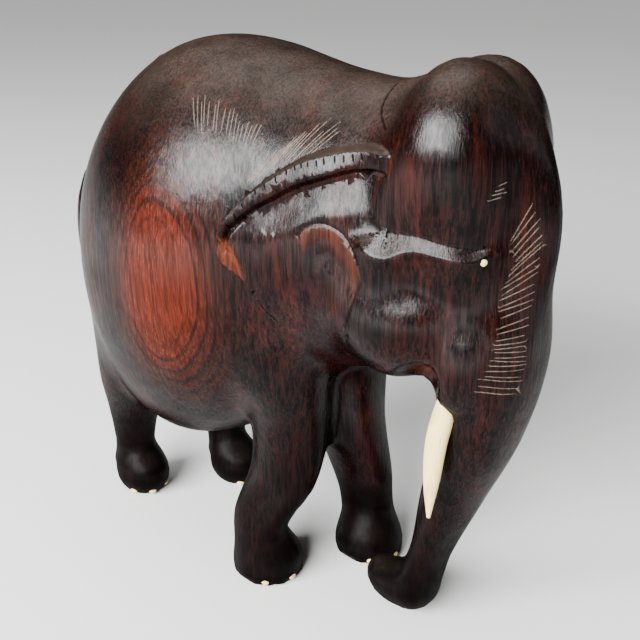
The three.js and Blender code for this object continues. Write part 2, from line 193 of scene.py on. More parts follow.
@dataclass(frozen=True)
class Ellipsoid:
    """An ellipsoid, tipped forward by pitch."""

    centre: Point
    half: Point
    pitch: float = 0.0

    def distance(self, x: Array, y: Array, z: Array, side: int = 1, shift: float = 0.0) -> Array:
        """Distance to its surface, mirrored for side -1 and moved forward by shift.

        Args:
            x: Places along the elephant, forward.
            y: Places across it, towards its left.
            z: Heights.
            side: 1 for the left and -1 for the right.
            shift: How far it is moved.

        Returns:
            The distance at each place, below zero inside.
        """
        dx = x - self.centre[0] - shift
        dy = y - side * self.centre[1]
        dz = z - self.centre[2]
        c, s = np.cos(self.pitch), np.sin(self.pitch)
        dx, dz = c * dx + s * dz, c * dz - s * dx
        a, b, h = self.half
        k = np.sqrt((dx / a) ** 2 + (dy / b) ** 2 + (dz / h) ** 2) + 1e-9
        g = np.sqrt((dx / a**2) ** 2 + (dy / b**2) ** 2 + (dz / h**2) ** 2) + 1e-9
        return k * (k - 1) / g


@dataclass(frozen=True)
class Column:
    """An upright form of elliptical sections by height, such as a leg or the trunk."""

    height: tuple[float, ...]
    along: tuple[float, ...]
    aside: tuple[float, ...]
    half_length: tuple[float, ...]
    half_width: tuple[float, ...]
    stride: tuple[float, ...] = ()
    foot: Ellipsoid | None = None
    blend: float = 0.0

    def distance(self, x: Array, y: Array, z: Array, side: int = 1, step: float = 0.0) -> Array:
        """Distance to the shaft, mirrored for side -1 and stepping forward by step at the foot.

        Args:
            x: Places along the elephant, forward.
            y: Places across it, towards its left.
            z: Heights.
            side: 1 for the left and -1 for the right.
            step: How far its foot is moved.

        Returns:
            The distance at each place, below zero inside.
        """
        cx = spline(z, self.height, self.along)
        if step:
            cx = cx + step * spline(z, self.height, self.stride)
        cy = side * spline(z, self.height, self.aside)
        a = spline(z, self.height, self.half_length)
        b = spline(z, self.height, self.half_width)
        k = np.sqrt(((x - cx) / a) ** 2 + ((y - cy) / b) ** 2) + 1e-9
        g = np.sqrt(((x - cx) / a**2) ** 2 + ((y - cy) / b**2) ** 2) + 1e-9
        flat = k * (k - 1) / g
        beyond = np.maximum(np.maximum(z - self.height[-1], self.height[0] - z), 0.0)
        return np.where(beyond > 0, np.sqrt(np.maximum(flat, 0) ** 2 + beyond**2), flat)

    def leg(self, x: Array, y: Array, z: Array, side: int, step: float) -> Array:
        """Distance to the shaft together with its foot."""
        shaft = self.distance(x, y, z, side, step)
        return smooth_min(shaft, self.foot.distance(x, y, z, side, step), Blend.FOOT)


@dataclass(frozen=True)
class Torso:
    """The barrel of the body: half width and heights at stations from rump to chest."""

    middle: float = -21.5
    rump_length: float = 108.5
    chest_length: float = 123.5
    rump_flatness: float = 2.1
    chest_flatness: float = 2.0
    squareness: float = 2.1
    station: tuple[float, ...] = (-145, -95.5, -46, 3, 52.5, 102)
    half_width: tuple[float, ...] = (63.5, 70.5, 76, 76.5, 66.5, 50.5)
    axis_height: tuple[float, ...] = (174, 169.5, 169.5, 175.5, 188, 192)
    above: tuple[float, ...] = (94, 110, 121, 120, 113.5, 103)
    below: tuple[float, ...] = (113.5, 115, 115.5, 103.5, 82, 72.5)

    def distance(self, x: Array, y: Array, z: Array) -> Array:
        """Distance to the barrel's surface.

        Args:
            x: Places along the elephant, forward.
            y: Places across it, towards its left.
            z: Heights.

        Returns:
            The distance at each place, below zero inside.
        """
        rump = x < self.middle
        n = np.where(rump, self.rump_flatness, self.chest_flatness)
        length = np.where(rump, self.rump_length, self.chest_length)
        u = np.abs(x - self.middle) / length
        width = spline(x, self.station, self.half_width)
        dz = z - spline(x, self.station, self.axis_height)
        up = spline(x, self.station, self.above)
        down = spline(x, self.station, self.below)
        height = np.where(dz > 0, up, down)
        m = self.squareness
        v, w = np.abs(y) / width, np.abs(dz) / height
        q = (v**m + w**m) ** (1 / m) + 1e-9
        slope = np.hypot(v ** (m - 1) / width, w ** (m - 1) / height) * q ** (1 - m)
        k = (u**n + q**n) ** (1 / n) + 1e-9
        g = np.sqrt((u ** (n - 1) / length) ** 2 + (q ** (n - 1) * slope) ** 2) * k ** (1 - n) + 1e-9
        return (k - 1) / g


@dataclass(frozen=True)
class Bar:
    """A round bar along a path, its radius changing from point to point."""

    path: tuple[Point, ...]
    radius: tuple[float, ...]
    steps: int = 1

    def distance(self, x: Array, y: Array, z: Array) -> Array:
        """Distance to the bar's surface.

        Args:
            x: Places along the elephant, forward.
            y: Places across it, towards its left.
            z: Heights.

        Returns:
            The distance at each place, below zero inside.
        """
        shares = np.linspace(0.0, 1.0, (len(self.path) - 1) * self.steps + 1)
        points = through(self.path, shares)
        radii = spline(shares, np.linspace(0.0, 1.0, len(self.radius)), self.radius)
        best = np.full(x.shape, np.inf)
        for a, b, ra, rb in zip(points[:-1], points[1:], radii[:-1], radii[1:]):
            ab = b - a
            t = ((x - a[0]) * ab[0] + (y - a[1]) * ab[1] + (z - a[2]) * ab[2]) / (ab @ ab)
            t = np.clip(t, 0.0, 1.0)
            away = (x - a[0] - t * ab[0]) ** 2 + (y - a[1] - t * ab[1]) ** 2 + (z - a[2] - t * ab[2]) ** 2
            best = np.minimum(best, np.sqrt(away) - ra - (rb - ra) * t)
        return best


NECK = Ellipsoid((89, 0, 214), (55.5, 44, 66), 0.04)
SKULL = Ellipsoid((126, 0, 225), (52.5, 16, 63), -0.05)
DOME = Ellipsoid((131.5, 12.5, 250), (28.5, 28.5, 44), -0.09)
CHEEK = Ellipsoid((116.5, 24, 183.5), (28.5, 24.5, 31.5))
SHEATH = Ellipsoid((150.5, 24, 163), (10, 9.5, 18), -0.1)
MOUTH = Ellipsoid((135.5, 31, 157.5), (7, 8, 6))
FRONT_LEG = Column(
    height=(8, 22, 36, 62, 95, 135, 180),
    along=(49, 46, 45, 49.5, 46.5, 41, 35.5),
    aside=(28.5, 30.5, 30, 20.5, 16.5, 22.5, 21),
    half_length=(15.5, 16.5, 18.5, 22.5, 24, 26.5, 19),
    half_width=(15.5, 14.5, 12.5, 13, 20, 25, 19),
    stride=(1, 1, 0.9, 0.7, 0.4, 0.1, 0),
    foot=Ellipsoid((49.5, 28, 4.5), (20.5, 20, 20.5)),
    blend=12.0,
)
REAR_LEG = Column(
    height=(20, 34, 58, 90, 130, 175),
    along=(-77, -79, -78.5, -74, -64.5, -53.5),
    aside=(25, 25.5, 27, 30.5, 29.5, 25),
    half_length=(13.5, 14, 17, 25.5, 37, 26.5),
    half_width=(13, 12, 15.5, 21.5, 27.5, 19),
    stride=(1, 0.9, 0.7, 0.35, 0, 0),
    foot=Ellipsoid((-71, 25.5, 12), (19.5, 16, 17)),
    blend=7.5,
)
TRUNK = Column(
    height=(5, 18, 44, 82, 125, 170, 215, 255),
    along=(108.5, 119, 128.5, 138.5, 150, 154, 142, 128.5),
    aside=(0, 0, 0, 0, 0, 0, 0, 0),
    half_length=(12.5, 13.5, 10.5, 15, 20, 23, 22.5, 24),
    half_width=(7.5, 11, 13.5, 18.5, 24, 27.5, 28.5, 25.5),
)
TRUNK_TIP = Bar(((119, 0, 16), (99.5, 0, 14.5)), (12.5, 10))
TRUNK_NOTCH = Ellipsoid((101.5, 0, 30), (5, 14, 6), 0.3)
TAIL = Bar(
    (
        (-74, 0, 270), (-99.5, -2, 250), (-112.5, -9, 232), (-120, -21, 211),
        (-122, -29, 190), (-122, -31, 163), (-118, -28.5, 136), (-108.5, -27, 112),
    ),
    (9, 8, 6.2, 5.4, 5.4, 5.2, 4.8, 2.6),
    steps=3,
)


class Foot(Enum):
    """The four feet: which side, which pair, and how far forward the step carries it."""

    FRONT_RIGHT = (-1, FRONT_LEG, -14.0)
    FRONT_LEFT = (1, FRONT_LEG, 16.0)
    REAR_RIGHT = (-1, REAR_LEG, -15.5)
    REAR_LEFT = (1, REAR_LEG, 21.0)

    @property
    def side(self) -> int:
        """1 on the elephant's left and -1 on its right."""
        return self.value[0]

    @property
    def leg(self) -> Column:
        """The leg's form."""
        return self.value[1]

    @property
    def step(self) -> float:
        """How far forward of its pair's place the foot stands."""
        return self.value[2]


# Relief on the sides of the head

@dataclass(frozen=True)
class Ear:
    """The ear in low relief, outlined in side view as x and z."""

    top: tuple[Pair, ...] = (
        (118, 257.5), (110, 258.2), (100.7, 257.4), (91.7, 255.5), (83, 252.6), (74, 248.6), (65.2, 242.7),
        (56.3, 235.8), (49.3, 228.6), (44, 222.4), (39.7, 215.2), (36.9, 208), (36.2, 200.3),
    )
    back: tuple[Pair, ...] = (
        (37.7, 196.1), (42.5, 193.3), (50.7, 187.5), (57.1, 177.1), (65.6, 166.3), (77, 158), (88, 154),
    )
    flap: tuple[Pair, ...] = (
        (94, 157), (99.5, 164), (104, 175), (107.5, 186), (110.2, 195.1), (111.2, 200.8), (110, 206.2),
        (107.9, 211), (103.7, 215.6), (98.4, 220.3), (92.3, 222.9), (87.2, 222.9), (81.3, 220.1),
        (78.5, 216.1),
    )
    flap_outside: int = 9
    temple: tuple[Pair, ...] = ((103.7, 215.6), (107, 226), (112, 240), (118, 257.5))
    fold: tuple[Pair, ...] = ((79, 213.5), (84, 208.8), (89, 206), (95.5, 204.8), (101.1, 203.7))
    bevel: tuple[Pair, ...] = ((39, 212.5), (44.4, 205.9), (48, 200.1), (50, 194.5), (51.5, 188))
    pit: tuple[Pair, ...] = ((38, 203), (41.4, 204.2), (46.5, 201.8), (42.5, 200))
    rim: tuple[Pair, ...] = (
        (118, 252.5), (110, 253.2), (99, 252), (89, 248.8), (79.5, 245.2), (70.3, 240.2), (62, 234.2),
        (54.3, 228.6), (48.3, 223), (43.2, 217.2), (39.8, 211), (37.8, 204),
    )
    reach: tuple[float, float, float, float] = (20.0, 132.0, 140.0, 272.0)
    height: float = 2.6
    edge: float = 2.8
    temple_fade: float = 20.0
    foot_fade: Pair = (158.0, 188.0)
    rim_half: tuple[float, ...] = (4.4, 5.2, 5.8, 4.8, 3.6, 2.6, 1.8)
    rim_height: float = 2.9
    rim_lean: tuple[float, ...] = (0.1, 0.14, 0.0, -0.14)
    groove: float = 1.5
    groove_width: float = 1.2
    hollow: float = 2.8
    hollow_reach: float = 20.0
    bevel_cut: float = 1.8
    pit_cut: float = 0.3
    flap_cut: float = 0.5
    flap_cut_width: float = 0.8
    flap_thinning: float = 0.72
    flap_thinning_reach: float = 30.0

    def outline(self) -> list[Pair]:
        """The ear's closed outline."""
        edge = [*smoothed(self.top), *smoothed(self.back), *smoothed(self.flap[: self.flap_outside])]
        return [*edge, *self.temple[1:-1]]

    def near(self, x: Array, z: Array) -> Array:
        """Which places are near enough for the ear to reach them."""
        back, front, low, high = self.reach
        return (x > back) & (x < front) & (z > low) & (z < high)

    def relief(self, x: Array, z: Array) -> Array:
        """Height of the ear over the side of the head and shoulder.

        Args:
            x: Places along the elephant, forward.
            z: Heights.

        Returns:
            The height at each place.
        """
        rise = np.zeros(x.shape)
        near = self.near(x, z)
        if not near.any():
            return rise
        u, v = x[near], z[near]
        outline = self.outline()
        distance, _, _ = along_line(outline[: 2 - len(self.temple)], u, v)
        inside = inside_outline(outline, u, v)
        temple, _, _ = along_line(self.temple, u, v)
        edge = smooth_step(-0.5 * self.edge, 0.5 * self.edge, inside * distance)
        front, _, _ = along_line(smoothed(self.flap[: self.flap_outside]), u, v)
        flap, _, _ = along_line(smoothed(self.flap), u, v)
        thin = 1 - self.flap_thinning * smooth_step(self.flap_thinning_reach, 4.0, front)
        low = smooth_step(*self.foot_fade, v)
        out = self.height * thin * low * edge * smooth_step(0.0, self.temple_fade, temple)

        rim, side, share = along_line(smoothed(self.rim), u, v)
        half = spline(share, np.linspace(0, 1, len(self.rim_half)), self.rim_half)
        ends = smooth_step(0.0, 0.05, share) * smooth_step(1.0, 0.9, share)
        across = side * rim / half
        band = smooth_step(-1.15, -0.6, across) * smooth_step(1.15, 0.7, across)
        lean = spline(share, (0.0, 0.3, 0.55, 0.85), self.rim_lean)
        out += self.rim_height * band * (1 - lean * (across + 1)) * ends
        below = rim * side - half
        out -= self.groove * np.exp(-((below / self.groove_width) ** 2)) * ends
        wide = smooth_step(0.02, 0.25, share) * smooth_step(0.97, 0.5, share)
        wide *= smooth_step(self.hollow_reach, 3.0, below)
        out -= self.hollow * smooth_step(-0.5, 2.5, below) * wide

        bevel, side, _ = along_line(self.bevel, u, v)
        slope = smooth_step(-0.6, 6.0, -side * bevel) * edge * smooth_step(14.0, 10.0, bevel)
        out -= self.bevel_cut * slope * smooth_step(216.0, 208.0, v)
        pit, _, _ = along_line([*self.pit, self.pit[0]], u, v)
        out -= self.pit_cut * smooth_step(0.0, 1.2, pit * inside_outline(self.pit, u, v))

        out -= self.flap_cut * np.exp(-((flap / self.flap_cut_width) ** 2))
        rise[near] = out
        return rise

    def raw(self, x: Array, z: Array) -> Array:
        """How far the wood is bare and rubbed orange, from 0 to 1: the tip's bevel and the flap's bowl.

        Args:
            x: Places along the elephant, forward.
            z: Heights.

        Returns:
            The share of bare wood at each place.
        """
        near = self.near(x, z)
        out = np.zeros(x.shape)
        u, v = x[near], z[near]
        bevel, side, _ = along_line(self.bevel, u, v)
        tip = smooth_step(0.0, 1.6, -side * bevel) * smooth_step(12.0, 9.0, bevel)
        tip *= smooth_step(216.0, 209.0, v)
        tip *= inside_outline(self.outline(), u, v) > 0
        flap_line = smoothed(self.flap)
        flap, _, _ = along_line(flap_line, u, v)
        within = inside_outline([*flap_line, *self.fold], u, v) > 0
        bowl = 0.45 * within * smooth_step(11.0, 2.0, flap) * smooth_step(0.2, 1.2, flap)
        out[near] = np.maximum(tip * 0.8, bowl * smooth_step(180.0, 212.0, v))
        return out


@dataclass(frozen=True)
class Brow:
    """The ledge over the eye, as a line in side view, and the hollow under it."""

    line: tuple[Pair, ...] = (
        (107, 225), (109, 219), (114.4, 214.8), (122, 213.8), (128, 216.6), (134.9, 218.6),
        (141.2, 218), (149.2, 216.9), (156.3, 216.8), (161.3, 220.9), (163.5, 230),
    )
    ledge: tuple[float, ...] = (3.2, 4.2, 4.2, 3.4, 3.2, 3.1, 2.9, 1.9, 0.8)
    ledge_depth: tuple[float, ...] = (15.0, 16.0, 15.0, 11.0, 8.5, 7.5, 6.5, 4.6, 3.6)
    hollow: float = 1.6
    under_depth: float = 12.0
    hollow_depth: float = 40.0
    ridge: float = 0.9
    reach: tuple[float, float, float, float] = (88.0, 176.0, 166.0, 262.0)

    def relief(self, x: Array, z: Array) -> Array:
        """Height over the side of the head, below zero in the hollow.

        Args:
            x: Places along the elephant, forward.
            z: Heights.

        Returns:
            The height at each place.
        """
        rise = np.zeros(x.shape)
        back, front, low, high = self.reach
        near = (x > back) & (x < front) & (z > low) & (z < high)
        if not near.any():
            return rise
        distance, side, share = along_line(smoothed(self.line), x[near], z[near])
        knots = np.linspace(0.0, 1.0, len(self.ledge))
        ends = smooth_step(0.0, 0.2, share) * smooth_step(1.0, 0.84, share)
        above = side * distance
        depth = spline(share, knots, self.ledge_depth)
        high = spline(share, knots, self.ledge)
        climb = np.maximum(1 - above / depth, 0)
        ledge = high * np.where(climb < 0.3, climb**2 / 0.6, climb - 0.15) / 0.85
        under = high * (1 + above / self.under_depth)
        ridge = smooth_min(np.minimum(ledge, high * 1.3), np.minimum(under, high * 1.3), self.ridge)
        floor = -self.hollow * smooth_step(-self.hollow_depth, -self.under_depth, above)
        rise[near] = ends * np.where(above > 0, ridge, smooth_max(ridge, floor, 2.0))
        return rise


# Engraved strokes

@dataclass(frozen=True)
class Stroke:
    """One engraved stroke on the surface: its ends, the surface's normal, how it is cut, and how much shade
    is painted into it.
    """

    start: Array
    end: Array
    normal: Array
    width: float
    depth: float
    chalk: float
    # How much shade is painted into the cut, as near-black colour.
    dark: float

    def amount(self, points: Array) -> tuple[Array, Array]:
        """Which points the stroke touches, and how fully from 0 to 1.

        Args:
            points: Places on or near the surface, one a row.

        Returns:
            Indices of the points within reach, and the stroke's strength at each.
        """
        reach = self.width
        low = np.minimum(self.start, self.end) - reach - 6.0
        high = np.maximum(self.start, self.end) + reach + 6.0
        near = np.flatnonzero(np.all((points > low) & (points < high), axis=1))
        rel = points[near] - self.start
        span = self.end - self.start
        length = float(np.linalg.norm(span))
        along = span / length
        across = np.cross(self.normal, along)
        t = rel @ along
        s = rel @ across
        beyond = np.maximum(np.maximum(-t, t - length), 0.0)
        share = np.clip(t / length, 0.0, 1.0)
        half = 0.5 * self.width * (0.35 + 0.65 * np.minimum(1.0, 6.0 * np.minimum(share, 1 - share) + 0.2))
        distance = np.hypot(s, beyond)
        return near, smooth_step(1.0, 0.35, distance / half)


@dataclass(frozen=True)
class Fan:
    """A fan of engraved strokes between two paths of points."""

    starts: tuple[Point, ...]
    ends: tuple[Point, ...]
    count: int
    width: float = 0.42
    depth: float = 0.15
    chalk: float = 0.85
    loose: float = 0.3

    def strokes(self, body: "Body", side: int, rng: np.random.Generator) -> list[Stroke]:
        """The fan's strokes laid on the body's surface, for one side of the elephant.

        Args:
            body: The carved body.
            side: 1 for the left and -1 for the right.
            rng: The source of small irregularities.

        Returns:
            The strokes.
        """
        shares = np.linspace(0.0, 1.0, self.count)
        gap = 1.0 / max(self.count - 1, 1)
        starts = through(self.starts, np.clip(shares + rng.uniform(-1, 1, self.count) * gap * 0.3, 0, 1))
        ends = through(self.ends, np.clip(shares + rng.uniform(-1, 1, self.count) * gap * 0.3, 0, 1))
        trim = rng.uniform(0, self.loose, (self.count, 2))
        span = ends - starts
        starts, ends = starts + span * trim[:, :1], ends - span * trim[:, 1:]
        for p in (starts, ends):
            p[:, 1] *= side
        return laid(body, starts, ends, self.width, self.depth, self.chalk, 0.0)


def laid(
    body: "Body", starts: Array, ends: Array, width: float, depth: float, chalk: float, dark: float
) -> list[Stroke]:
    """Strokes from starts to ends, laid on the body's smooth forms.

    Args:
        body: The carved body.
        starts: One end of each stroke.
        ends: The other end.
        width: Full width.
        depth: Full depth.
        chalk: How chalky the cut is.
        dark: How much shade is painted into the cut.

    Returns:
        The strokes.
    """
    starts, ends = body.settle(starts, body.forms, 5), body.settle(ends, body.forms, 5)
    normals = body.normals((starts + ends) / 2, body.forms)
    out = []
    for a, b, n in zip(starts, ends, normals):
        along = (b - a) / np.linalg.norm(b - a)
        flat = n - along * (n @ along)
        flat /= np.linalg.norm(flat)
        out.append(Stroke(a, b, flat, width, depth, chalk, dark))
    return out


# The fans are written for the elephant's left, with y counted outwards, and mirrored for its right.
FANS = (
    Fan(
        ((2.2, 45.5, 270.9), (13.6, 44, 269.9), (26.3, 43.2, 266.4), (36.3, 43, 262.6), (46.1, 41.6, 261)),
        ((13.5, 54.7, 254.4), (22, 54, 251.2), (30.7, 51.1, 251.5), (38.3, 50, 249), (45.1, 47.1, 251.5)),
        17,
    ),
    Fan(
        ((20.7, 54.2, 251.6), (31.9, 51.8, 249.2), (43.1, 49.6, 246.9)),
        ((33.8, 56.3, 236.1), (40.6, 55.1, 233.3), (45.6, 54.2, 231.3)),
        8,
        chalk=0.5,
    ),
    Fan(
        ((43.6, 55.5, 228.3), (50.7, 52, 234.6), (60.5, 47.6, 242.1), (73.6, 43.2, 248.1)),
        ((54, 46.2, 249), (66.6, 38.5, 259.3), (76.4, 32.3, 266.1), (89.5, 31.2, 264.6)),
        17,
    ),
    Fan(((156.7, 27.4, 241.8), (159.3, 23.7, 247.7)), ((162.6, 18.6, 244.2), (162.5, 18, 250.2)), 4),
    Fan(
        (
            (164.8, 16.7, 225.2), (166.5, 15.7, 215.2), (165, 19.3, 204.8), (165.7, 20.8, 195.6),
            (165.8, 23.1, 184.4), (165.6, 24, 176.8), (163.9, 25.6, 169.4), (159.7, 28.6, 159),
        ),
        (
            (169.7, 9.1, 241.7), (174.2, 6.4, 231.7), (175.1, 6.4, 220.8), (174.5, 7.6, 207.2),
            (174.8, 8.7, 195.3),
            (175.4, 10.4, 182.9), (176.2, 9.9, 175), (176, 10.5, 166.7), (174.6, 12.1, 157.1),
        ),
        28,
        loose=0.12,
    ),
)
# Notches across the ear's rim: each the top and the foot of a cut, from the temple to the tip.
NOTCH_TOPS = (
    (104.5, 35.2, 255.3), (96.6, 36.9, 253.4), (89.1, 39.2, 251.7), (82.5, 41.4, 249), (77.1, 43, 247.3),
    (71.8, 44.4, 245.7), (63.8, 47.4, 240.8), (55.5, 50.9, 234.4), (47.7, 54.9, 225.6), (41.6, 58.3, 216.5),
)
NOTCH_FEET = (
    (106.3, 37.1, 250.3), (98.3, 38.9, 248.1), (90.8, 41, 246.8), (84, 43, 244.7), (78.5, 44.1, 243.9),
    (73.5, 45.6, 241.5), (65.4, 48.5, 236), (57, 51.7, 230.1), (49.7, 55, 222.1), (44, 58.1, 212.1),
)
NOTCHES = 16
NOTCH_TRIM = (0.28, 0.2)
# The notches are sunk, and their cuts are painted near black as shade.
NOTCH_CUT = {"width": 1.3, "depth": 0.7, "chalk": 0.0, "dark": 1.0}
# A crease between the shoulder and the head, with shade painted into it.
CREASE = ((109, 31.5, 264.7), (101, 25, 270.5), (98, 17.3, 276), (96.9, 8, 281))
CREASE_CUT = {"width": 1.7, "depth": 0.9, "chalk": 0.0, "dark": 0.8}


# The wooden body

Distance = Callable[[Array, Array, Array], Array]
Wanted = Callable[[Array, Array], Array]


class Body:
    """The elephant's wooden body as a field: below zero inside, zero on the surface."""

    ear: Ear = Ear()
    brow: Brow = Brow()
    torso: Torso = Torso()
    relief_side: Pair = (12.0, 20.0)

    def forms(self, x: Array, y: Array, z: Array) -> Array:
        """Distance to the smooth forms together.

        Args:
            x: Places along the elephant, forward.
            y: Places across it, towards its left.
            z: Heights.

        Returns:
            The distance at each place, below zero inside.
        """
        side = np.abs(y)
        body = smooth_min(self.torso.distance(x, y, z), NECK.distance(x, y, z), Blend.NECK)
        for foot in Foot:
            body = smooth_min(body, foot.leg.leg(x, y, z, foot.side, foot.step), foot.leg.blend)
        head = smooth_min(SKULL.distance(x, y, z), DOME.distance(x, side, z), Blend.DOME)
        head = smooth_min(head, CHEEK.distance(x, side, z), Blend.CHEEK)
        head = smooth_min(head, TRUNK.distance(x, y, z), Blend.TRUNK)
        head = smooth_min(head, SHEATH.distance(x, side, z), Blend.SHEATH)
        head = smooth_max(head, -MOUTH.distance(x, side, z), Blend.SHEATH)
        head = smooth_min(head, TRUNK_TIP.distance(x, y, z), Blend.TIP)
        head = smooth_max(head, -TRUNK_NOTCH.distance(x, y, z), Blend.NOTCH)
        body = smooth_min(body, head, Blend.HEAD)
        body = smooth_min(body, TAIL.distance(x, y, z), Blend.TAIL)
        return smooth_max(body, -z, Blend.SOLE)

    def rise(self, x: Array, z: Array) -> Array:
        """Height of the ears and brows over the forms, in side view."""
        return self.ear.relief(x, z) + self.brow.relief(x, z)

    def carved(self, x: Array, y: Array, z: Array) -> Array:
        """Distance to the surface with its ears and brows."""
        return self.forms(x, y, z) - self.rise(x, z) * smooth_step(*self.relief_side, np.abs(y))

    @staticmethod
    def slope(points: Array, distance: Distance, e: float = 0.15) -> tuple[Array, Array]:
        """The field's value and gradient at each point, by differences over e millimetres.

        Args:
            points: One point a row.
            distance: The field.
            e: The step of the differences.

        Returns:
            The values, and the gradients one a row.
        """
        x, y, z = points.T
        here = distance(x, y, z)
        ahead = np.stack([distance(x + e, y, z), distance(x, y + e, z), distance(x, y, z + e)], axis=1)
        return here, (ahead - here[:, None]) / e

    def settle(self, points: Array, distance: Distance, steps: int = 4) -> Array:
        """Points moved onto the zero surface along its slope.

        Args:
            points: One point a row.
            distance: The field.
            steps: How many moves.

        Returns:
            The moved points.
        """
        p = points.astype(float).copy()
        for _ in range(steps):
            value, slope = self.slope(p, distance)
            scale = value / np.maximum(np.sum(slope * slope, axis=1), 0.2)
            move = slope * scale[:, None]
            size = np.linalg.norm(move, axis=1)
            p -= move * np.minimum(1.0, 2.0 / (size + 1e-9))[:, None]
        return p

    def normals(self, points: Array, distance: Distance) -> Array:
        """Unit normals of the surface at each point."""
        _, slope = self.slope(points, distance)
        return slope / (np.linalg.norm(slope, axis=1, keepdims=True) + 1e-12)


@dataclass(frozen=True)
class Blow:
    """A rough bare place on the wood."""

    centre: Point
    half: Point
    full: float = 1.0

    def amount(self, points: Array) -> Array:
        """How bare each point is, from 0 to 1."""
        away = (points - np.array(self.centre)) / np.array(self.half)
        return self.full * smooth_step(1.0, 0.6, np.sqrt(np.sum(away**2, axis=1)))

    @staticmethod
    def at(points: Array) -> Array:
        """All bare places together, the same on both sides.

        Args:
            points: One point a row.

        Returns:
            The share of bare wood.
        """
        folded = points.copy()
        folded[:, 1] = np.abs(folded[:, 1])
        out = np.zeros(len(points))
        for blow in BLOWS:
            out = np.maximum(out, blow.amount(folded))
        return out


# The worn corner of the mouth.
BLOWS = (Blow((134, 27, 159), (7.5, 9, 7), 0.35),)


# Meshing

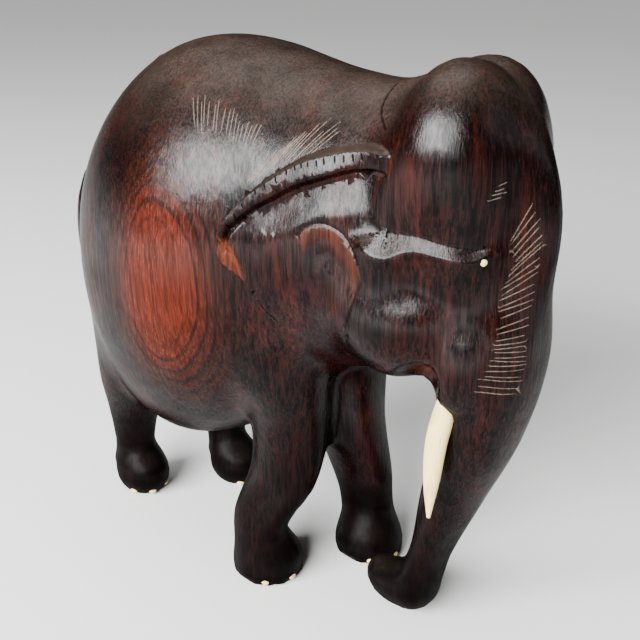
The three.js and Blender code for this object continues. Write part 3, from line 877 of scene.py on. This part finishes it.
@dataclass
class Skin:
    """A triangle mesh of the body, refined where the carving is fine."""

    points: Array
    faces: Array

    @classmethod
    def net(cls, distance: Distance, low: Point, high: Point, step: float) -> "Skin":
        """One vertex in each grid cell that the surface crosses, two triangles for each crossed edge.

        Args:
            distance: The field.
            low: Lowest corner of the grid.
            high: Highest corner of the grid.
            step: Grid spacing.

        Returns:
            The closed mesh.
        """
        axes = [np.arange(a, b + step, step) for a, b in zip(low, high)]
        shape = tuple(len(a) for a in axes)
        value = np.empty(shape)
        yy, zz = np.meshgrid(axes[1], axes[2], indexing="ij")
        for i, x in enumerate(axes[0]):
            value[i] = distance(np.full(yy.size, x), yy.ravel(), zz.ravel()).reshape(yy.shape)
        value[value == 0] = 1e-6
        cells = tuple(n - 1 for n in shape)
        total = np.zeros((*cells, 3))
        count = np.zeros(cells)
        corner = np.stack(np.meshgrid(*[a[:-1] for a in axes], indexing="ij"), axis=-1)
        for axis in range(3):
            others = [a for a in range(3) if a != axis]
            for da in (0, 1):
                for db in (0, 1):
                    start = [0, 0, 0]
                    start[others[0]], start[others[1]] = da, db
                    end = list(start)
                    end[axis] = 1
                    va = value[tuple(slice(s, s + n) for s, n in zip(start, cells))]
                    vb = value[tuple(slice(s, s + n) for s, n in zip(end, cells))]
                    hit = (va < 0) != (vb < 0)
                    t = np.where(hit, va / np.where(hit, va - vb, 1.0), 0.0)
                    place = corner + np.array(start) * step
                    place[..., axis] += t * step
                    total += place * hit[..., None]
                    count += hit
        used = count > 0
        index = np.full(cells, -1)
        index[used] = np.arange(used.sum())
        points = total[used] / count[used][:, None]
        faces = []
        for axis in range(3):
            b, c = (axis + 1) % 3, (axis + 2) % 3
            here = np.moveaxis(value, (axis, b, c), (0, 1, 2))
            cell = np.moveaxis(index, (axis, b, c), (0, 1, 2))
            lower = here[:-1, 1:-1, 1:-1] < 0
            upper = here[1:, 1:-1, 1:-1] < 0
            i, j, k = np.nonzero(lower != upper)
            ring = [cell[i, j, k], cell[i, j + 1, k], cell[i, j + 1, k + 1], cell[i, j, k + 1]]
            quad = np.stack(ring, axis=1)
            flip = ~lower[i, j, k]
            quad[flip] = quad[flip][:, ::-1]
            faces.append(quad)
        quads = np.concatenate(faces)
        diagonal = np.linalg.norm(points[quads[:, 0]] - points[quads[:, 2]], axis=1)
        other = np.linalg.norm(points[quads[:, 1]] - points[quads[:, 3]], axis=1)
        turned = np.where((diagonal <= other)[:, None], quads, np.roll(quads, -1, axis=1))
        return cls(points, np.concatenate([turned[:, [0, 1, 2]], turned[:, [0, 2, 3]]]))

    def split(self, wanted: Wanted) -> int:
        """Halves the edges that are wanted, and parts the triangles on both sides of each.

        Args:
            wanted: Given the edges' middles and lengths, says which ones to halve.

        Returns:
            How many edges were halved.
        """
        f = self.faces
        pairs = np.sort(np.concatenate([f[:, [0, 1]], f[:, [1, 2]], f[:, [2, 0]]]), axis=1)
        edges, back = np.unique(pairs, axis=0, return_inverse=True)
        back = back.reshape(3, -1).T
        a, b = self.points[edges[:, 0]], self.points[edges[:, 1]]
        mark = wanted((a + b) / 2, np.linalg.norm(a - b, axis=1))
        fresh = np.full(len(edges), -1)
        fresh[mark] = len(self.points) + np.arange(mark.sum())
        self.points = np.concatenate([self.points, ((a + b) / 2)[mark]])
        new = fresh[back]
        has = new >= 0
        count = has.sum(axis=1)
        out = [f[count == 0]]
        for turn in range(3):
            order = [turn, (turn + 1) % 3, (turn + 2) % 3]
            v, m, h = f[:, order], new[:, order], has[:, order]
            one = (count == 1) & h[:, 0]
            v1, m1 = v[one], m[one]
            out.append(np.stack([v1[:, 0], m1[:, 0], v1[:, 2]], axis=1))
            out.append(np.stack([m1[:, 0], v1[:, 1], v1[:, 2]], axis=1))
            two = (count == 2) & h[:, 0] & h[:, 1]
            v2, m2 = v[two], m[two]
            out.append(np.stack([m2[:, 0], v2[:, 1], m2[:, 1]], axis=1))
            out.append(np.stack([v2[:, 0], m2[:, 0], m2[:, 1]], axis=1))
            out.append(np.stack([v2[:, 0], m2[:, 1], v2[:, 2]], axis=1))
        v3, m3 = f[count == 3], new[count == 3]
        for k in range(3):
            out.append(np.stack([v3[:, k], m3[:, k], m3[:, (k + 2) % 3]], axis=1))
        out.append(m3)
        self.faces = np.concatenate(out)
        return int(mark.sum())

    def to_mesh(self, name: str, normals: Array) -> bpy.types.Mesh:
        """A Blender mesh in metres in the frame, with smooth shading from the given normals.

        Args:
            name: The mesh's name.
            normals: One normal a row.

        Returns:
            The mesh.
        """
        mesh = bpy.data.meshes.new(name)
        placed = (self.points - np.array([CENTRE_X, 0.0, 0.0])) * MM
        mesh.vertices.add(len(placed))
        mesh.vertices.foreach_set("co", placed.astype(np.float32).ravel())
        mesh.loops.add(self.faces.size)
        mesh.loops.foreach_set("vertex_index", self.faces.astype(np.int32).ravel())
        mesh.polygons.add(len(self.faces))
        mesh.polygons.foreach_set("loop_start", np.arange(0, self.faces.size, 3, dtype=np.int32))
        mesh.update(calc_edges=True)
        mesh.validate()
        mesh.polygons.foreach_set("use_smooth", np.ones(len(mesh.polygons), bool))
        mesh.normals_split_custom_set_from_vertices(normals.astype(np.float32))
        return mesh


# Finishes

class Nodes:
    """A short way to build a procedural material's node tree."""

    def __init__(self, name: str) -> None:
        """Starts a material with its shader."""
        self.material = bpy.data.materials.new(name)
        self.material.use_nodes = True
        self.tree = self.material.node_tree
        self.shader = self.tree.nodes["Principled BSDF"]

    def add(self, kind: str, **settings: object) -> bpy.types.Node:
        """A new node with its properties set.

        Args:
            kind: The node's type.
            settings: Its properties by name.

        Returns:
            The node.
        """
        node = self.tree.nodes.new(kind)
        for key, value in settings.items():
            setattr(node, key, value)
        return node

    def link(self, source: Socket, target: Socket) -> None:
        """Joins two sockets."""
        self.tree.links.new(source, target)

    def feed(self, socket: Socket, value: object) -> None:
        """Links value if it is a socket, and sets it otherwise.

        Args:
            socket: The input.
            value: A socket or a plain value.
        """
        if isinstance(value, bpy.types.NodeSocket):
            self.link(value, socket)
        else:
            socket.default_value = value

    def place(self) -> Socket:
        """The surface's position in its own object, in metres."""
        return self.add("ShaderNodeTexCoord").outputs["Object"]

    def noise(self, place: object, scale: Point, detail: float = 2.0, rough: float = 0.5) -> Socket:
        """Noise from 0 to 1, of its own fineness along each axis.

        Args:
            place: The position.
            scale: Features a metre along each axis.
            detail: Octaves.
            rough: How strong the finer octaves are.

        Returns:
            The noise.
        """
        mapping = self.add("ShaderNodeMapping")
        self.feed(mapping.inputs["Vector"], place)
        mapping.inputs["Scale"].default_value = scale
        node = self.add("ShaderNodeTexNoise")
        self.link(mapping.outputs["Vector"], node.inputs["Vector"])
        node.inputs["Scale"].default_value = 1.0
        node.inputs["Detail"].default_value = detail
        node.inputs["Roughness"].default_value = rough
        return node.outputs["Fac"]

    def math(self, operation: str, a: object, b: object = 0.0, clamp: bool = False) -> Socket:
        """A sum on two values.

        Args:
            operation: Blender's name for it.
            a: The first value.
            b: The second.
            clamp: Whether the result is kept from 0 to 1.

        Returns:
            The result.
        """
        node = self.add("ShaderNodeMath", operation=operation, use_clamp=clamp)
        self.feed(node.inputs[0], a)
        self.feed(node.inputs[1], b)
        return node.outputs[0]

    def product(self, *values: object) -> Socket:
        """Several values multiplied together, from the first to the last.

        Args:
            values: The values.

        Returns:
            The product.
        """
        out = values[0]
        for value in values[1:]:
            out = self.math("MULTIPLY", out, value)
        return out

    def ramp(
        self, value: object, low: float, high: float, out_low: float = 0.0, out_high: float = 1.0
    ) -> Socket:
        """Eases value from low to high into out_low to out_high.

        Args:
            value: The value.
            low: Where the easing starts.
            high: Where it ends.
            out_low: The result at low.
            out_high: The result at high.

        Returns:
            The result.
        """
        node = self.add("ShaderNodeMapRange", interpolation_type="SMOOTHSTEP")
        self.feed(node.inputs["Value"], value)
        node.inputs["From Min"].default_value = low
        node.inputs["From Max"].default_value = high
        node.inputs["To Min"].default_value = out_low
        node.inputs["To Max"].default_value = out_high
        return node.outputs["Result"]

    def mix(self, share: object, a: object, b: object) -> Socket:
        """A mix of two colours.

        Args:
            share: How much of the second.
            a: The first colour.
            b: The second colour.

        Returns:
            The colour.
        """
        node = self.add("ShaderNodeMix", data_type="RGBA")
        self.feed(node.inputs[0], share)
        self.feed(node.inputs[6], a)
        self.feed(node.inputs[7], b)
        return node.outputs[2]


def linear(value: int) -> float:
    """One channel of a colour from 0 to 255, made linear."""
    c = value / 255
    return c / 12.92 if c <= 0.04045 else ((c + 0.055) / 1.055) ** 2.4


def tint(red: int, green: int, blue: int) -> tuple[float, float, float, float]:
    """A colour of three channels from 0 to 255, made linear."""
    return (linear(red), linear(green), linear(blue), 1.0)


@dataclass(frozen=True)
class Rosewood:
    """Dark polished rosewood: upright grain, an oval figure on each flank, dust on top with a painted sheen
    of the light from above, chalky cuts.
    """

    dark: Colour = (5, 3, 3)
    red: Colour = (29, 7, 5)
    ember: Colour = (50, 12, 7)
    heart: Colour = (76, 21, 5)
    heart_dark: Colour = (46, 13, 5)
    ring: Colour = (25, 8, 5)
    # The grey-brown of the tops: real dust, with a painted sheen of the light from above mixed in.
    dust_and_sheen_tone: Colour = (84, 72, 63)
    chalk: Colour = (122, 108, 94)
    raw: Colour = (92, 38, 15)
    raw_dark: Colour = (44, 19, 11)
    oval_centre: Pair = (-0.0220, 0.179)
    oval_half: Pair = (0.0350, 0.0640)
    ring_pitch: float = 38.0
    grain_lean: float = 0.06
    shine: float = 0.2
    shine_at_edge: float = 0.03

    def figure(self, n: Nodes, split: bpy.types.Node, place: object, grain: object, wood: object) -> object:
        """The oval figure of rings on the flank, laid over the wood.

        Args:
            n: The material's nodes.
            split: The node with the position's parts.
            place: The position.
            grain: The grain's noise.
            wood: The wood's colour so far.

        Returns:
            The colour with the figure.
        """
        x, y, z = split.outputs
        ex = n.math("DIVIDE", n.math("SUBTRACT", x, self.oval_centre[0]), self.oval_half[0])
        ez = n.math("DIVIDE", n.math("SUBTRACT", z, self.oval_centre[1]), self.oval_half[1])
        far = n.math("SQRT", n.math("ADD", n.math("MULTIPLY", ex, ex), n.math("MULTIPLY", ez, ez)))
        wander = n.noise(place, (26, 26, 14), 2.0, 0.5)
        far = n.math("ADD", far, n.math("MULTIPLY", n.math("SUBTRACT", wander, 0.5), 0.3))
        flank = n.ramp(n.math("ABSOLUTE", y), 0.035, 0.055)
        wave = n.math("SINE", n.math("MULTIPLY", n.math("POWER", far, 1.4), self.ring_pitch))
        ringed = n.math("MULTIPLY", n.ramp(wave, 0.25, 0.95), n.ramp(far, 0.38, 0.62))
        inner = n.mix(n.ramp(grain, 0.4, 0.62), tint(*self.heart_dark), tint(*self.heart))
        outer = n.mix(n.ramp(grain, 0.42, 0.66), tint(*self.ring), tint(*self.heart_dark))
        heart = n.mix(n.ramp(far, 0.5, 0.95), inner, outer)
        heart = n.mix(n.math("MULTIPLY", ringed, 0.62), heart, tint(*self.dark))
        cover = n.math("MULTIPLY", n.ramp(far, 1.32, 0.86), flank)
        return n.mix(cover, wood, heart)

    def material(self) -> bpy.types.Material:
        """The finished material.

        Returns:
            The material, with its node tree.
        """
        n = Nodes("rosewood")
        place = n.place()
        split = n.add("ShaderNodeSeparateXYZ")
        n.link(place, split.inputs[0])
        height = split.outputs[2]

        # The marks carry chalk, bare wood, and shade painted into the notches and the crease.
        marks = n.add("ShaderNodeAttribute", attribute_name="marks")
        mark = n.add("ShaderNodeSeparateColor")
        n.link(marks.outputs["Color"], mark.inputs[0])
        chalk, raw, dark = mark.outputs

        leaned = n.add("ShaderNodeMapping")
        n.link(place, leaned.inputs["Vector"])
        leaned.inputs["Rotation"].default_value = (0.0, self.grain_lean, 0.0)
        upright = leaned.outputs["Vector"]
        fine = n.noise(upright, (1400, 1400, 75), 3.0, 0.65)
        streak = n.noise(upright, (520, 520, 24), 3.0, 0.6)
        broad = n.noise(upright, (60, 60, 14), 3.0, 0.55)
        grain = n.math("ADD", n.math("MULTIPLY", streak, 0.5), n.math("MULTIPLY", fine, 0.5))
        share = n.ramp(n.math("ADD", grain, n.math("MULTIPLY", broad, 0.55)), 0.66, 0.94)
        # The wood's red and its red streaks fade towards the floor, so the lower legs are darker.
        red_by_height = n.ramp(height, 0.01, 0.16, 0.1, 1.0)
        share = n.math("MULTIPLY", share, red_by_height)
        wood = n.mix(share, tint(*self.dark), tint(*self.red))
        glow = n.math("MULTIPLY", n.ramp(broad, 0.5, 0.72), n.ramp(streak, 0.5, 0.68))
        wood = n.mix(n.math("MULTIPLY", glow, red_by_height), wood, tint(*self.ember))
        wood = self.figure(n, split, place, grain, wood)

        raw_wood = n.mix(n.ramp(grain, 0.38, 0.62), tint(*self.raw_dark), tint(*self.raw))
        wood = n.mix(raw, wood, raw_wood)

        up = n.add("ShaderNodeSeparateXYZ")
        n.link(n.add("ShaderNodeNewGeometry").outputs["Normal"], up.inputs[0])
        patch = n.noise(place, (60, 60, 60), 5.0, 0.65)
        speck = n.noise(place, (900, 900, 500), 2.0, 0.6)
        # Dust on upward faces, partly painted sheen: the grey-brown tops mix real dust with a painted
        # reflection of the light from above.
        dust_and_sheen = n.product(
            n.ramp(up.outputs[2], 0.3, 0.95),
            n.ramp(patch, 0.2, 0.75, 0.45, 1.0),
            n.ramp(speck, 0.3, 0.7, 0.45, 1.0),
            n.ramp(height, 0.1, 0.2, 0.25, 1.0),
        )
        wood = n.mix(n.math("MULTIPLY", dust_and_sheen, 0.5), wood, tint(*self.dust_and_sheen_tone))

        # Painted shade: the notches and the crease are painted near black inside their cuts.
        wood = n.mix(n.math("MULTIPLY", dark, 0.9), wood, tint(3, 2, 2))
        broken = n.ramp(n.noise(place, (400, 400, 400), 2.0), 0.3, 0.6, 0.5, 1.0)
        lines = n.math("MULTIPLY", chalk, broken)
        wood = n.mix(lines, wood, tint(*self.chalk))
        n.link(wood, n.shader.inputs["Base Color"])

        rough = n.math("ADD", n.ramp(fine, 0.3, 0.7, 0.18, 0.29), n.math("MULTIPLY", dust_and_sheen, 0.3))
        rough = n.math("ADD", rough, n.math("MULTIPLY", n.math("ADD", chalk, raw), 0.3), clamp=True)
        rough = n.math("ADD", rough, n.ramp(height, 0.02, 0.1, 0.14, 0.0), clamp=True)
        n.link(rough, n.shader.inputs["Roughness"])
        edge = n.add("ShaderNodeLayerWeight").outputs["Facing"]
        level = n.product(
            n.ramp(edge, 0.4, 0.85, self.shine, self.shine_at_edge),
            n.ramp(height, 0.03, 0.14, 0.2, 1.0),
            # Less gloss where shade is painted into the cuts.
            n.ramp(dark, 0.1, 0.7, 1.0, 0.08),
            n.ramp(grain, 0.38, 0.6, 0.68, 1.2),
            n.ramp(patch, 0.3, 0.6, 0.75, 1.15),
            n.ramp(up.outputs[2], -0.05, 0.22, 0.4, 1.0),
        )
        n.link(level, n.shader.inputs["Specular IOR Level"])

        bump = n.add("ShaderNodeBump")
        bump.inputs["Strength"].default_value = 0.5
        bump.inputs["Distance"].default_value = 0.00023
        n.link(n.math("ADD", fine, n.math("MULTIPLY", streak, 0.6)), bump.inputs["Height"])
        swell = n.add("ShaderNodeBump")
        swell.inputs["Strength"].default_value = 0.5
        swell.inputs["Distance"].default_value = 0.0007
        n.link(n.noise(place, (85, 85, 60), 2.0, 0.5), swell.inputs["Height"])
        n.link(bump.outputs["Normal"], swell.inputs["Normal"])
        n.link(swell.outputs["Normal"], n.shader.inputs["Normal"])
        return n.material


@dataclass(frozen=True)
class Bone:
    """Aged cream bone with faint lengthwise lines."""

    pale: Colour = (246, 220, 150)
    warm: Colour = (222, 176, 104)

    def material(self) -> bpy.types.Material:
        """The finished material.

        Returns:
            The material, with its node tree.
        """
        n = Nodes("bone")
        place = n.place()
        lines = n.noise(place, (700, 700, 60), 3.0, 0.6)
        cloud = n.noise(place, (90, 90, 50), 2.0, 0.5)
        both = n.math("ADD", n.math("MULTIPLY", lines, 0.5), n.math("MULTIPLY", cloud, 0.5))
        share = n.ramp(both, 0.42, 0.68)
        n.link(n.mix(share, tint(*self.pale), tint(*self.warm)), n.shader.inputs["Base Color"])
        n.link(n.ramp(lines, 0.3, 0.7, 0.34, 0.5), n.shader.inputs["Roughness"])
        n.shader.inputs["Subsurface Weight"].default_value = 0.15
        n.shader.inputs["Subsurface Radius"].default_value = (0.0012, 0.0008, 0.0004)
        n.shader.inputs["Subsurface Scale"].default_value = 1.0
        bump = n.add("ShaderNodeBump")
        bump.inputs["Strength"].default_value = 0.2
        bump.inputs["Distance"].default_value = 0.0002
        n.link(lines, bump.inputs["Height"])
        n.link(bump.outputs["Normal"], n.shader.inputs["Normal"])
        return n.material


@dataclass(frozen=True)
class Paper:
    """The plain pale floor."""

    colour: Colour = (247, 247, 246)

    def material(self) -> bpy.types.Material:
        """The finished material.

        Returns:
            The material, with its node tree.
        """
        n = Nodes("pale_floor")
        n.shader.inputs["Base Color"].default_value = tint(*self.colour)
        n.shader.inputs["Roughness"].default_value = 0.9
        return n.material


# Pieces

def new_object(name: str, mesh: bpy.types.Mesh, material: bpy.types.Material) -> bpy.types.Object:
    """An object in the scene with one material.

    Args:
        name: Its name.
        mesh: Its mesh, in metres.
        material: Its material.

    Returns:
        The object.
    """
    piece = bpy.data.objects.new(name, mesh)
    bpy.context.scene.collection.objects.link(piece)
    mesh.materials.append(material)
    return piece


@dataclass
class WoodCarving:
    """The carved body: its mesh, its cuts and its finish."""

    finish: Rosewood = Rosewood()
    body: Body = field(default_factory=Body)
    low: Point = (-152, -92, -18)
    high: Point = (196, 92, 308)
    step: float = 4.0
    relief_passes: int = 3
    relief_edge: float = 0.95
    relief_change: float = 0.22
    stroke_passes: tuple[Pair, ...] = ((4.0, 3.0), (2.1, 1.5), (0.95, 0.75), (0.36, 0.4))
    bare_side: float = 25.0

    def strokes(self) -> list[Stroke]:
        """Every engraved stroke on both sides.

        Returns:
            The strokes of the fans, the rims' notches and the creases.
        """
        out = []
        for side in (-1, 1):
            rng = np.random.default_rng(7)
            for fan in FANS:
                out += fan.strokes(self.body, side, rng)
            mirror = np.array([1, side, 1])
            shares = np.linspace(0, 1, NOTCHES) + rng.uniform(-0.012, 0.012, NOTCHES)
            tops, feet = through(NOTCH_TOPS, shares) * mirror, through(NOTCH_FEET, shares) * mirror
            upper, lower = NOTCH_TRIM
            tops, feet = (1 - upper) * tops + upper * feet, (1 - lower) * feet + lower * tops
            out += laid(self.body, tops, feet, **NOTCH_CUT)
            crease = through(CREASE, np.linspace(0, 1, 8)) * mirror
            out += laid(self.body, crease[:-1], crease[1:], **CREASE_CUT)
        return out

    def near_relief(self, middle: Array, length: Array) -> Array:
        """Which edges lie across a change in the relief and are still long.

        Args:
            middle: The edges' middles.
            length: The edges' lengths.

        Returns:
            True for each edge to halve.
        """
        near = (length > self.relief_edge) & (np.abs(middle[:, 1]) > self.body.relief_side[0])
        x, _, z = middle[near].T
        reach = np.maximum(0.9, 0.4 * length[near])
        change = np.zeros(near.sum())
        here = self.body.rise(x, z)
        for dx, dz in ((1.0, 0.0), (0.0, 1.0)):
            high = self.body.rise(x + dx * reach, z + dz * reach)
            low = self.body.rise(x - dx * reach, z - dz * reach)
            bend = np.abs(high + low - 2 * here)
            change = np.maximum(change, np.maximum(np.abs(high - low) * 0.5, bend))
        near[near] = change > self.relief_change
        return near

    @staticmethod
    def near_strokes(strokes: list[Stroke], reach: float, least: float) -> Wanted:
        """A test for edges near the engraved strokes.

        Args:
            strokes: The strokes.
            reach: How far beside a stroke an edge still counts.
            least: Edges no longer than this are left.

        Returns:
            The test, as Skin.split takes it.
        """
        def wanted(middle: Array, length: Array) -> Array:
            """Which edges are near a stroke and long enough."""
            near = np.zeros(len(middle), bool)
            for s in strokes:
                wide = Stroke(s.start, s.end, s.normal, s.width + 2 * reach, 0, 0, 0)
                index, amount = wide.amount(middle)
                near[index[amount > 0]] = True
            return near & (length > least)
        return wanted

    def refine(self, skin: Skin, wanted: Wanted, steps: int) -> None:
        """Halves the wanted edges and settles the new points on the carved surface.

        Args:
            skin: The mesh, changed in place.
            wanted: The test for edges.
            steps: How many times the new points are moved.
        """
        old = len(skin.points)
        skin.split(wanted)
        skin.points[old:] = self.body.settle(skin.points[old:], self.body.carved, steps)
        log.info("refined to %d faces", len(skin.faces))

    def cut(self, skin: Skin, strokes: list[Stroke], normals: Array) -> Array:
        """Sinks the strokes into the mesh.

        Args:
            skin: The mesh, changed in place.
            strokes: The strokes.
            normals: The surface's normals at the mesh's points.

        Returns:
            The marks at each point: chalk, bare wood, shade painted into the cuts, and 1.
        """
        marks = np.zeros((len(skin.points), 4), np.float32)
        marks[:, 3] = 1
        sink = np.zeros(len(skin.points))
        for s in strokes:
            index, amount = s.amount(skin.points)
            sink[index] = np.maximum(sink[index], amount * s.depth)
            marks[index, 0] = np.maximum(marks[index, 0], amount * s.chalk)
            marks[index, 2] = np.maximum(marks[index, 2], amount * s.dark)
        skin.points = skin.points - normals * sink[:, None]
        x, y, z = skin.points.T
        bare = self.body.ear.raw(x, z) * (np.abs(y) > self.bare_side)
        marks[:, 1] = np.maximum(bare, Blow.at(skin.points))
        return marks

    def build(self) -> bpy.types.Object:
        """Meshes the body, refines it, cuts the strokes and dresses it.

        Returns:
            The finished piece.
        """
        body = self.body
        skin = Skin.net(body.forms, self.low, self.high, self.step)
        skin.points = body.settle(skin.points, body.forms, 2)
        skin.points = body.settle(skin.points, body.carved, 3)
        strokes = self.strokes()
        log.info("net: %d points, %d faces, %d strokes", len(skin.points), len(skin.faces), len(strokes))
        for _ in range(self.relief_passes):
            self.refine(skin, self.near_relief, 3)
        for reach, least in self.stroke_passes:
            self.refine(skin, self.near_strokes(strokes, reach, least), 2)
        normals = body.normals(skin.points, body.carved)
        marks = self.cut(skin, strokes, normals)
        log.info("carving: %d points, %d faces", len(skin.points), len(skin.faces))
        mesh = skin.to_mesh("carved_body", normals)
        layer = mesh.color_attributes.new("marks", "FLOAT_COLOR", "POINT")
        layer.data.foreach_set("color", marks.ravel())
        piece = new_object("carved_body", mesh, self.finish.material())
        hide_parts("carving")
        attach(piece, "root")
        return piece


@dataclass(frozen=True)
class Tusk:
    """A slim bone tusk of oval sections, on the left; mirrored for the right."""

    path: tuple[Point, ...] = (
        (150, 24, 162), (147, 25, 147), (144.2, 27, 127.5), (144.7, 29.5, 107.5), (145.4, 30.5, 88),
    )
    half_length: tuple[float, ...] = (4, 5.1, 5.4, 4.1, 0.9)
    half_width: tuple[float, ...] = (3.6, 4.3, 4.3, 3.3, 0.8)
    rings: int = 40
    sides: int = 28

    def mesh(self, name: str, side: int) -> bpy.types.Mesh:
        """The tusk as a closed mesh in metres in the frame.

        Args:
            name: The mesh's name.
            side: 1 for the left and -1 for the right.

        Returns:
            The mesh.
        """
        shares = np.linspace(0, 1, self.rings)
        centre = through(self.path, shares)
        knots = np.linspace(0, 1, len(self.half_length))
        a = spline(shares, knots, self.half_length)
        b = spline(shares, knots, self.half_width)
        way = np.gradient(centre, axis=0)
        way /= np.linalg.norm(way, axis=1, keepdims=True)
        level = np.cross(np.array([0.0, 1.0, 0.0]), way)
        level /= np.linalg.norm(level, axis=1, keepdims=True)
        aside = np.cross(way, level)
        turn = np.linspace(0, 2 * np.pi, self.sides, endpoint=False)
        c, s = np.cos(turn)[None, :, None], np.sin(turn)[None, :, None]
        ring = centre[:, None] + level[:, None] * c * a[:, None, None] + aside[:, None] * s * b[:, None, None]
        points = np.concatenate([ring.reshape(-1, 3), centre[:1], centre[-1:] + way[-1:] * a[-1] * 0.6])
        points[:, 1] *= side
        points = (points - np.array([CENTRE_X, 0, 0])) * MM
        faces = []
        n = self.sides
        for i in range(self.rings - 1):
            for j in range(n):
                k = (j + 1) % n
                faces.append((i * n + j, i * n + k, (i + 1) * n + k, (i + 1) * n + j))
        root, tip = self.rings * n, self.rings * n + 1
        for j in range(n):
            k = (j + 1) % n
            faces.append((root, k, j))
            faces.append((tip, (self.rings - 1) * n + j, (self.rings - 1) * n + k))
        if side > 0:
            faces = [face[::-1] for face in faces]
        mesh = bpy.data.meshes.new(name)
        mesh.from_pydata(points.tolist(), [], faces)
        mesh.polygons.foreach_set("use_smooth", np.ones(len(mesh.polygons), bool))
        return mesh


@dataclass
class Inlays:
    """The bone pieces: two tusks, two eyes and twelve toenails."""

    finish: Bone = Bone()
    tusk: Tusk = Tusk()
    nail_size: float = 0.8
    nail_drop: float = 0.7

    def shrink(self, mesh: bpy.types.Mesh) -> None:
        """Makes a toenail a little smaller and lower than its solid.

        Args:
            mesh: The toenail's mesh, changed in place.
        """
        flat = np.empty(3 * len(mesh.vertices))
        mesh.vertices.foreach_get("co", flat)
        points = flat.reshape(-1, 3)
        middle = points.mean(axis=0)
        points = middle + (points - middle) * self.nail_size
        points[:, 2] -= self.nail_drop * MM
        mesh.vertices.foreach_set("co", points.ravel())
        mesh.update()

    def build(self) -> int:
        """Builds every bone piece in place of its solid, and returns how many there are.

        Returns:
            The number of pieces.
        """
        material = self.finish.material()
        count = 0
        for name in sorted(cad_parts):
            if name == "carving":
                continue
            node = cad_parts[name]
            if name.startswith("tusk"):
                mesh = self.tusk.mesh("fine_" + name, 1 if name.endswith("left") else -1)
            else:
                mesh = node.data.copy()
                mesh.materials.clear()
                mesh.polygons.foreach_set("use_smooth", np.ones(len(mesh.polygons), bool))
                if name.startswith("nail"):
                    self.shrink(mesh)
            piece = new_object("fine_" + name, mesh, material)
            if not name.startswith("tusk"):
                piece.matrix_world = node.matrix_world.copy()
            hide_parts(name)
            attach(piece, "root")
            count += 1
        return count


@dataclass(frozen=True)
class Studio:
    """The floor, the light and the camera at the photograph's viewing angle."""

    azimuth: float = 48.2
    elevation: float = 22.4
    roll: float = 1.3
    distance: float = 503.0
    focal: float = 884.0
    target: Point = (29.5, 19.2, 140.3)
    picture: float = 640.0
    sensor: float = 36.0
    lamps: tuple[tuple[str, Point, float, Pair, float], ...] = (
        ("window", (0.02, -0.9, 0.42), 1.7, (1.75, 0.7), 146.0),
        ("side", (0.95, 0.1, 0.5), 2.0, (0.7, 0.7), 2.5),
    )
    room: tuple[float, float, float, float] = (0.97, 0.98, 1.0, 1.0)
    room_light: float = 0.035
    floor_side: float = 30.0
    floor_drop: float = 0.0002

    def camera(self) -> bpy.types.Object:
        """The camera, placed round the carving.

        Returns:
            The camera, made the scene's own.
        """
        a, e, r = math.radians(self.azimuth), math.radians(self.elevation), math.radians(self.roll)
        back = Vector((math.cos(a) * math.cos(e), -math.sin(a) * math.cos(e), math.sin(e)))
        level = Vector((math.sin(a), math.cos(a), 0.0))
        steep = back.cross(level)
        right = math.cos(r) * level + math.sin(r) * steep
        up = math.cos(r) * steep - math.sin(r) * level
        where = Vector(self.target) - Vector((CENTRE_X, 0, 0)) + self.distance * back
        data = bpy.data.cameras.new("camera")
        data.sensor_width = self.sensor
        data.lens = self.focal * self.sensor / self.picture
        data.clip_start = 0.01
        camera = bpy.data.objects.new("camera", data)
        camera.matrix_world = Matrix(
            (
                (right.x, up.x, back.x, where.x * MM),
                (right.y, up.y, back.y, where.y * MM),
                (right.z, up.z, back.z, where.z * MM),
                (0, 0, 0, 1),
            )
        )
        bpy.context.scene.collection.objects.link(camera)
        bpy.context.scene.camera = camera
        return camera

    def lamp(self, name: str, toward: Point, reach: float, size: Pair, power: float) -> None:
        """An oblong soft light, shining at the carving's middle from a direction.

        Args:
            name: Its name.
            toward: The direction it stands in.
            reach: How far away, in metres.
            size: Its width and height in metres.
            power: Its power in watts.
        """
        data = bpy.data.lights.new(name, "AREA")
        data.shape = "RECTANGLE"
        data.size, data.size_y = size
        data.energy = power
        light = bpy.data.objects.new(name, data)
        middle = Vector((0, 0, 0.15))
        way = Vector(toward).normalized()
        light.location = middle + way * reach
        light.rotation_euler = way.to_track_quat("Z", "Y").to_euler()
        bpy.context.scene.collection.objects.link(light)

    def sky(self, toward: Point, spread: float, power: float) -> None:
        """A very wide even light from above, spread over an angle in degrees.

        Args:
            toward: The direction it comes from.
            spread: The angle.
            power: Its strength.
        """
        data = bpy.data.lights.new("sky", "SUN")
        data.angle = math.radians(spread)
        data.energy = power
        light = bpy.data.objects.new("sky", data)
        light.rotation_euler = Vector(toward).to_track_quat("Z", "Y").to_euler()
        bpy.context.scene.collection.objects.link(light)

    def floor(self) -> None:
        """A wide pale sheet to stand on."""
        mesh = bpy.data.meshes.new("floor")
        side = self.floor_side
        corners = [(-side, -side, 0), (side, -side, 0), (side, side, 0), (-side, side, 0)]
        mesh.from_pydata(corners, [], [(0, 1, 2, 3)])
        floor = new_object("floor", mesh, Paper().material())
        floor.location.z = -self.floor_drop

    def build(self) -> None:
        """Sets up the whole studio."""
        self.camera()
        self.floor()
        for lamp in self.lamps:
            self.lamp(*lamp)
        self.sky((-0.25, -0.1, 0.95), 60.0, 1.7)
        world = bpy.data.worlds.new("room")
        world.use_nodes = True
        background = world.node_tree.nodes["Background"]
        background.inputs["Color"].default_value = self.room
        background.inputs["Strength"].default_value = self.room_light
        bpy.context.scene.world = world


def main() -> None:
    """Builds the scene in order and reports each piece."""
    logging.basicConfig(level=logging.INFO, format="%(message)s")
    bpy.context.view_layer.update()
    Studio().build()
    piece = WoodCarving().build()
    log.info("built %s", piece.name)
    log.info("built %d bone inlays", Inlays().build())


if __name__ == "__main__":
    main()
